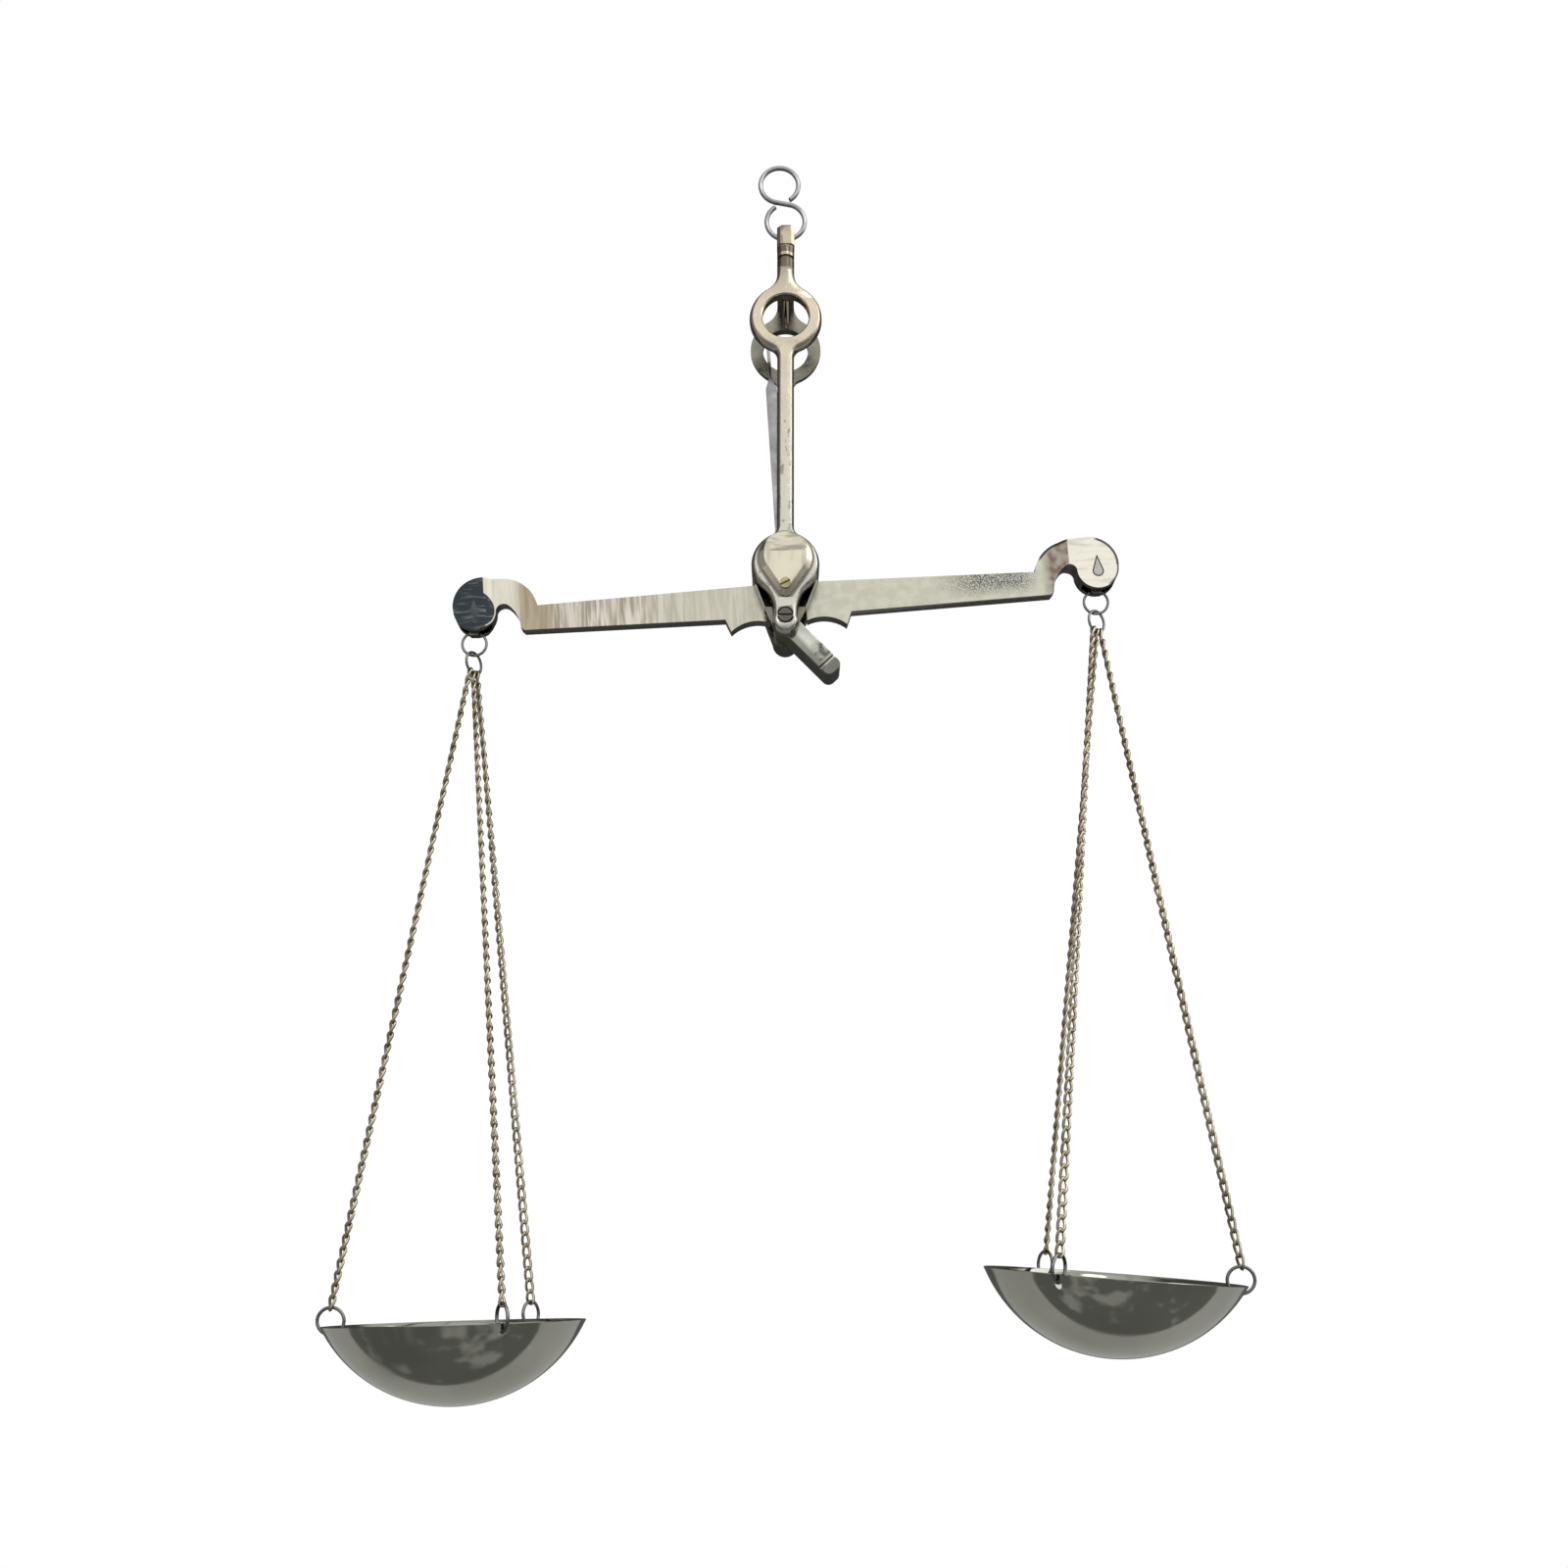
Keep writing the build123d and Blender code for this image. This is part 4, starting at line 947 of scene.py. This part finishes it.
# %% Cap pieces
def make_cap(name, node, side):
    """Build one cap on the front (side -1) or rear (side 1) cheek."""
    shape = bmesh.new()

    def corner(u, v, height):
        across, out = cap_centre.x + u * MM, side * (cheek_face + height) * MM
        return shape.verts.new((across, out, cap_centre.z + v * MM))

    rings = [[corner(u, v, 0.0) for u, v in pear_outline(0.0)]]
    for inset in cap_insets:
        rings.append([corner(u, v, cap_height(inset, v)) for u, v in pear_outline(inset)])
    for low, high in zip(rings, rings[1:]):
        band(shape, low, high)
    shape.faces.new(rings[0][::-1])
    foot, crest = corner(0, foot_v, cap_top), corner(0, cap_crease, cap_top)

    def nearest(first, second):
        low = (first.co.z + second.co.z) / 2 < cap_centre.z + foot_end_v * MM
        return foot if low else crest

    last = rings[-1]
    for index, start in enumerate(last):
        after, next_after = (last[(index + ahead) % len(last)] for ahead in (1, 2))
        near, other = nearest(start, after), nearest(after, next_after)
        shape.faces.new((start, after, near))
        if other is not near:
            shape.faces.new((after, other, near))
    bmesh.ops.recalc_face_normals(shape, faces=shape.faces)
    mesh = close_shape(shape, name)
    coat(mesh, cap_nickel, 60)
    return dress(add_object(name, mesh), node, "fork")


make_cap("front_domed_cap", "front_cap", -1)
make_cap("rear_domed_cap", "rear_cap", 1)
print("cap stands", cap_top, "mm off the cheek")


# %% [markdown]
# ## Reading places off the frame
# The chains and rings are the one thing that has to hang exactly where the working model says,
# link by link. Their meshes are split into separate islands, one for each link or ring, and
# the middle and the facing of each island are measured. That keeps the lesson in step with
# the frame, with no long list of copied coordinates.


# %% Islands
def islands(node):
    """Give the corner points of each separate solid in a node, highest first."""
    shape = copied(node)
    left = set(shape.verts)
    found = []
    while left:
        group, border = set(), [left.pop()]
        while border:
            corner = border.pop()
            group.add(corner)
            for link in corner.link_edges:
                other = link.other_vert(corner)
                if other in left:
                    left.remove(other)
                    border.append(other)
        found.append(np.array([corner.co for corner in group]))
    shape.free()
    return sorted(found, key=lambda points: -points[:, 2].mean())


def flat_axes(points):
    """Give the middle of a flat ring, a direction in its plane, and its normal."""
    centre = points.mean(0)
    _, _, axes = np.linalg.svd(points - centre)
    return Vector(centre), Vector(axes[0]), Vector(axes[2])


print("links in the left outer chain:", len(islands("left_outer_chain")))


# %% [markdown]
# ## One tree for every round wire
# The hook and all ten rings are the same thing, a round wire that follows a line. A Geometry
# Nodes tree takes the line, sweeps a circle along it and closes the ends. Its wire radius and
# finish are inputs, so the same tree gives the thick hook and the thin rings. What the tree
# makes is turned into a plain mesh at once, because every piece has to end as one.


# %% Tree helpers
def new_tree(name, inputs):
    """Start a geometry tree and give its inputs: a geometry and what the names say."""
    tree = bpy.data.node_groups.new(name, "GeometryNodeTree")
    geometry = {"socket_type": "NodeSocketGeometry"}
    tree.interface.new_socket("Geometry", in_out="INPUT", **geometry)
    for label, kind in inputs.items():
        tree.interface.new_socket(label, in_out="INPUT", socket_type="NodeSocket" + kind)
    tree.interface.new_socket("Geometry", in_out="OUTPUT", **geometry)
    return tree, add_node(tree, "NodeGroupInput").outputs


def end_tree(tree, geometry, finish):
    """Close a tree with real, smooth faces and a finish."""
    real = add_node(tree, "GeometryNodeRealizeInstances", {0: geometry})
    smooth = add_node(tree, "GeometryNodeSetShadeSmooth", {"Geometry": real.outputs[0]})
    coated = {"Geometry": smooth.outputs[0], "Material": finish}
    coated = add_node(tree, "GeometryNodeSetMaterial", coated).outputs[0]
    add_node(tree, "NodeGroupOutput", {0: coated})
    return tree


def plain_mesh(thing, name):
    """Give the mesh that an object shows after its modifiers, and take the object away."""
    bpy.context.view_layer.update()
    depsgraph = bpy.context.evaluated_depsgraph_get()
    mesh = bpy.data.meshes.new_from_object(thing.evaluated_get(depsgraph), depsgraph=depsgraph)
    bpy.data.objects.remove(thing)
    mesh.name = name
    return mesh


def run_tree(tree, name, source, values):
    """Run a tree on some data and give a new object with what it makes."""
    carrier = add_object(name + "_line", source)
    modifier = carrier.modifiers.new("shape", "NODES")
    modifier.node_group = tree
    for item in tree.interface.items_tree:
        if item.in_out == "INPUT" and item.name in values:
            modifier[item.identifier] = values[item.name]
    return add_object(name, plain_mesh(carrier, name))


# %% Wire tree
def wire_tree():
    """Build the tree that sweeps a round wire along a line."""
    kinds = {"Wire Radius": "Float", "Sides": "Int", "Finish": "Material"}
    tree, given = new_tree("round wire", kinds)
    section = {"Resolution": given["Sides"], "Radius": given["Wire Radius"]}
    profile = add_node(tree, "GeometryNodeCurvePrimitiveCircle", section).outputs[0]
    swept = {"Curve": given["Geometry"], "Profile Curve": profile, "Fill Caps": True}
    wire = add_node(tree, "GeometryNodeCurveToMesh", swept).outputs[0]
    return end_tree(tree, wire, given["Finish"])


round_wire = wire_tree()


def bend_wire(name, loops, closed, wire, sides, finish):
    """Bend a wire of some thickness in mm along lists of points, one run for each list."""
    curve = bpy.data.curves.new(name, "CURVE")
    curve.dimensions = "3D"
    for points in loops:
        spline = curve.splines.new("POLY")
        spline.points.add(len(points) - 1)
        for index, point in enumerate(points):
            spline.points[index].co = (*point, 1)
        spline.use_cyclic_u = closed
    values = {"Wire Radius": wire / 2 * MM, "Sides": sides, "Finish": finish}
    return run_tree(round_wire, name, curve, values)


# %% [markdown]
# ## The hook
# A single wire, bent into an open loop above and an open loop below that cross over in a short
# straight. The line is drawn from the two loop centres, as the bender's pins would be set.

# %% Hook
upper_loop, lower_loop = 4.8, 4.82
lower_centre = (1.6, -10.1)
loop_turn, loop_steps = 316, 61
hook_wire = 1.15
span = math.hypot(*lower_centre)
lean = math.degrees(math.atan2(lower_centre[1], lower_centre[0]))
cross = lean - 90 + math.degrees(math.asin((upper_loop + lower_loop) / span))
bends = sweep((0, 0), upper_loop, cross - loop_turn, cross, loop_steps)
bends += sweep(lower_centre, lower_loop, cross + 180, cross + 180 - loop_turn, loop_steps)
hook_run = [(u * MM, 0, v * MM) for u, v in bends]
hook = bend_wire("bent_wire_hook", [hook_run], False, hook_wire, sides=16, finish=hook_steel)
dress(hook, "s_hook", "hook")
print("hook wire:", len(hook.data.polygons), "faces")


# %% [markdown]
# ## Rings
# A link ring hangs in each stirrup, a gathering ring carries the three chains, and three rim
# rings pass through the holes of each pan. The frame gives the middle and plane of each, and
# only the radius of the bend and the thickness of the wire are numbers of their own.


# %% Ring pieces
# The radius of each bend and the thickness of its wire, in mm.
link_ring, gathering_ring, rim_ring = (2.95, 0.65), (2.675, 0.65), (3.1, 0.8)


def make_rings(name, node, body, radius, wire):
    """Replace the ring or rings of a node by smooth ones."""
    loops = []
    for points in islands(node):
        centre, across, normal = flat_axes(points)
        upright = normal.cross(across)
        ring = circle((0, 0), radius, 48)
        loops.append([centre + (across * u + upright * v) * MM for u, v in ring])
    rings = bend_wire(name, loops, True, wire, sides=12, finish=ring_steel)
    return dress(rings, node, body)


for side in ("left", "right"):
    stirrup, hanger = side + "_stirrup", side + "_hanger"
    make_rings(side + "_link_wire_ring", side + "_link_ring", stirrup, *link_ring)
    make_rings(side + "_gathering_wire_ring", side + "_gathering_ring", hanger, *gathering_ring)
    rim = make_rings(side + "_rim_wire_rings", side + "_rim_rings", hanger, *rim_ring)
    print(side, "rim rings:", len(rim.data.polygons), "faces")

# %% [markdown]
# ## Curb chain
# Each strand is a fine curb chain: every link is an oval of wire whose two ends are twisted an
# eighth of a turn in opposite directions, so that each end lies flat across the next link.
# Over 320 links would be dull to place by hand and heavy as fine tubes. The tree makes one
# link from a circle that is stretched and twisted by a formula, and sets a copy on each point
# of a line, with a small extra turn from link to link. The link keeps a few dozen faces.

# %% Chain tree
link_half_width, link_half_length = 0.8 * MM, 1.73 * MM
link_wire = 0.72
bar_twist = math.radians(45)
width_fullness, length_fullness = 0.62, 0.8


def chain_tree():
    """Build the tree that hangs curb links one below the other along minus z."""
    kinds = {"Links": "Int", "Pitch": "Float", "Turn": "Float", "Finish": "Material"}
    tree, given = new_tree("curb chain", kinds)
    circles = "GeometryNodeCurvePrimitiveCircle"
    loop = add_node(tree, circles, {"Resolution": 12, "Radius": 1.0}).outputs[0]
    section = {"Resolution": 5, "Radius": link_wire / 2 * MM}
    section = add_node(tree, circles, section).outputs[0]
    where = split(tree, add_node(tree, "GeometryNodeInputPosition").outputs[0])

    def squarer(value, power):
        size = calculate(tree, "POWER", calculate(tree, "ABSOLUTE", value), power)
        return times(tree, calculate(tree, "SIGN", value), size)

    across = times(tree, squarer(where["X"], width_fullness), link_half_width)
    height = squarer(where["Y"], length_fullness)
    twist = times(tree, height, bar_twist)
    bent = {
        "X": times(tree, across, calculate(tree, "COSINE", twist)),
        "Y": times(tree, across, calculate(tree, "SINE", twist)),
        "Z": times(tree, height, link_half_length),
    }
    bent = add_node(tree, "ShaderNodeCombineXYZ", bent).outputs[0]
    oval = add_node(tree, "GeometryNodeSetPosition", {"Geometry": loop, "Position": bent})
    link = {"Curve": oval.outputs[0], "Profile Curve": section}
    link = add_node(tree, "GeometryNodeCurveToMesh", link).outputs[0]
    drop = add_node(tree, "ShaderNodeCombineXYZ", {"Z": times(tree, given["Pitch"], -1.0)})
    run = {"Count": given["Links"], "Offset": drop.outputs[0]}
    run = add_node(tree, "GeometryNodeMeshLine", run, mode="OFFSET", count_mode="TOTAL")
    order = add_node(tree, "GeometryNodeInputIndex").outputs[0]
    turned = add_node(tree, "ShaderNodeCombineXYZ", {"Z": times(tree, order, given["Turn"])})
    strand = {"Points": run.outputs[0], "Instance": link, "Rotation": turned.outputs[0]}
    strand = add_node(tree, "GeometryNodeInstanceOnPoints", strand).outputs[0]
    return end_tree(tree, strand, given["Finish"])


curb_chain = chain_tree()

# %% Chain pieces
bar_start = 1.2 * MM


def bar_angle(points, centre, axis, across, end):
    """Measure the direction of a link's end bar round the chain's axis."""
    beside = axis.cross(across)
    offsets = [Vector(point) - centre for point in points]
    ends = [offset for offset in offsets if offset.dot(axis) * end > bar_start]
    angles = [math.atan2(offset.dot(beside), offset.dot(across)) for offset in ends]
    doubled = sum((np.exp(2j * angle) for angle in angles), 0j)
    return math.atan2(doubled.imag, doubled.real) / 2


def short_way(angle):
    """Bring an angle between two lines within a quarter turn."""
    return (angle + math.pi / 2) % math.pi - math.pi / 2


def make_chain(name, node, body):
    """Hang a smooth chain where the frame's chain hangs."""
    links = islands(node)
    centres = [Vector(points.mean(0)) for points in links]
    axis = (centres[0] - centres[-1]).normalized()
    across = Vector((1, 0, 0)).cross(axis).normalized()
    facings = []
    for points, centre in ((links[0], centres[0]), (links[-1], centres[-1])):
        top = bar_angle(points, centre, axis, across, 1)
        low = bar_angle(points, centre, axis, across, -1)
        choices = [(top - bar_twist) % math.pi, (low + bar_twist) % math.pi]
        facings.append(choices[0] + short_way(choices[1] - choices[0]) / 2)
    turn = short_way(facings[1] - facings[0])
    steps = len(links) - 1
    pitch = (centres[0] - centres[-1]).length / steps
    values = {"Links": len(links), "Pitch": pitch, "Turn": turn / steps, "Finish": chain_brass}
    chain = run_tree(curb_chain, name, bpy.data.meshes.new(name), values)
    forward = across * math.cos(facings[0]) + axis.cross(across) * math.sin(facings[0])
    place = Matrix((forward, axis.cross(forward), axis)).transposed().to_4x4()
    place.translation = centres[0]
    chain.data.transform(place)
    print(name, len(links), "links of", round(pitch / MM, 3), "mm")
    return dress(chain, node, body)


for side in ("left", "right"):
    for strand in ("outer", "front", "back"):
        make_chain(f"{side}_{strand}_curb_chain", f"{side}_{strand}_chain", side + "_hanger")


# %% [markdown]
# ## Pans
# A pan is a cap of a sphere, thin as card, with three small holes just under its rim. It is
# turned here from one curved outline, with enough steps to mirror the room without flats. The
# edge is rounded over as a burnished one is. The holes are cut with a Boolean modifier, which
# is applied at once, because the pan has to end as a plain mesh.

# %% Bowl
pan_radius, pan_depth = 30.0, 19.0
bowl_radius = (pan_radius**2 + pan_depth**2) / (2 * pan_depth)
bowl_centre = bowl_radius - pan_depth
bowl_steps, bowl_turns = 36, 160


def bowl_profile(wall):
    """Give the wall's outline from the foot of the outside, over the rim, to the inside's."""
    inner_radius = bowl_radius - wall
    outer_edge, inner_edge = (
        math.degrees(math.asin(-bowl_centre / radius)) for radius in (bowl_radius, inner_radius)
    )
    outer = sweep((0, bowl_centre), bowl_radius, -90, outer_edge, bowl_steps)[1:]
    inner = sweep((0, bowl_centre), inner_radius, inner_edge, -90, bowl_steps)[:-1]
    rounding = wall * 0.28
    outer[-1] = (outer[-1][0], -rounding)
    rim = [(outer[-1][0] - rounding, 0.0), (inner[0][0] + rounding, 0.0)]
    inner[0] = (inner[0][0], -rounding)
    return outer + rim + inner


def turn_bowl(name, wall):
    """Turn a bowl about its own axis."""
    shape = bmesh.new()
    rings = [
        [shape.verts.new((x, y, height)) for x, y in circle((0, 0), radius, bowl_turns)]
        for radius, height in bowl_profile(wall)
    ]
    for low, high in zip(rings, rings[1:]):
        band(shape, low, high)
    outside = shape.verts.new((0, 0, -pan_depth))
    inside = shape.verts.new((0, 0, wall - pan_depth))
    for turn in range(bowl_turns):
        after = (turn + 1) % bowl_turns
        shape.faces.new((outside, rings[0][after], rings[0][turn]))
        shape.faces.new((inside, rings[-1][turn], rings[-1][after]))
    bmesh.ops.recalc_face_normals(shape, faces=shape.faces)
    return add_object(name, close_shape(shape, name))


# %% Pan pieces
hole_drop, hole_radius, drill_length = 2.4, 0.95, 8
hole_reach = math.sqrt(bowl_radius**2 - (hole_drop + bowl_centre) ** 2)


def rotation(degrees, axis):
    """Give a turn about an axis."""
    return Matrix.Rotation(math.radians(degrees), 4, axis)


def make_drills(azimuths):
    """Set a round drill through the wall at each azimuth."""
    drills = bmesh.new()
    for azimuth in azimuths:
        spot = Matrix.Translation((hole_reach, 0, -hole_drop))
        bmesh.ops.create_cone(
            drills,
            cap_ends=True,
            segments=24,
            radius1=hole_radius,
            radius2=hole_radius,
            depth=drill_length,
            matrix=rotation(azimuth, "Z") @ spot @ rotation(90, "Y"),
        )
    return add_object("drills", close_shape(drills, "drills"))


def make_pan(name, node, body, rim, tip, tilt, wall, azimuths):
    """Turn a pan, cut its holes and set it in place, tipped and tilted."""
    bowl, drills = turn_bowl(name + "_whole", wall), make_drills(azimuths)
    cut = bowl.modifiers.new("holes", "BOOLEAN")
    cut.operation = "DIFFERENCE"
    cut.object = drills
    mesh = plain_mesh(bowl, name)
    bpy.data.objects.remove(drills)
    turned = rotation(tip, "X") @ rotation(tilt, "Y")
    mesh.transform(Matrix.Translation(rim) @ turned @ Matrix.Scale(MM, 4))
    coat(mesh, pan_steel, 40)
    return dress(add_object(name, mesh), node, body)


pan_drop = Vector((0, 0, -174.2 * MM))
# Each has its tip and tilt in degrees, its wall in mm and the azimuths of its holes.
pans = [
    ("left", 0.5, -1.7, 0.6263, (180, -58, 62)),
    ("right", 3.0, 4.1, 0.6, (-6, -126, 114)),
]
for side, tip, tilt, wall, azimuths in pans:
    rim = pivots[side + "_stirrup_swing"] + pan_drop
    node = side + "_pan"
    pan = make_pan(side + "_spun_pan", node, side + "_hanger", rim, tip, tilt, wall, azimuths)
    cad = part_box(node)
    low = [min(corner.co[axis] for corner in pan.data.vertices) for axis in range(3)]
    off = [round((mine - its) / MM, 2) for mine, its in zip(low, cad[0])]
    print(node, "is off the frame's by", off, "mm")
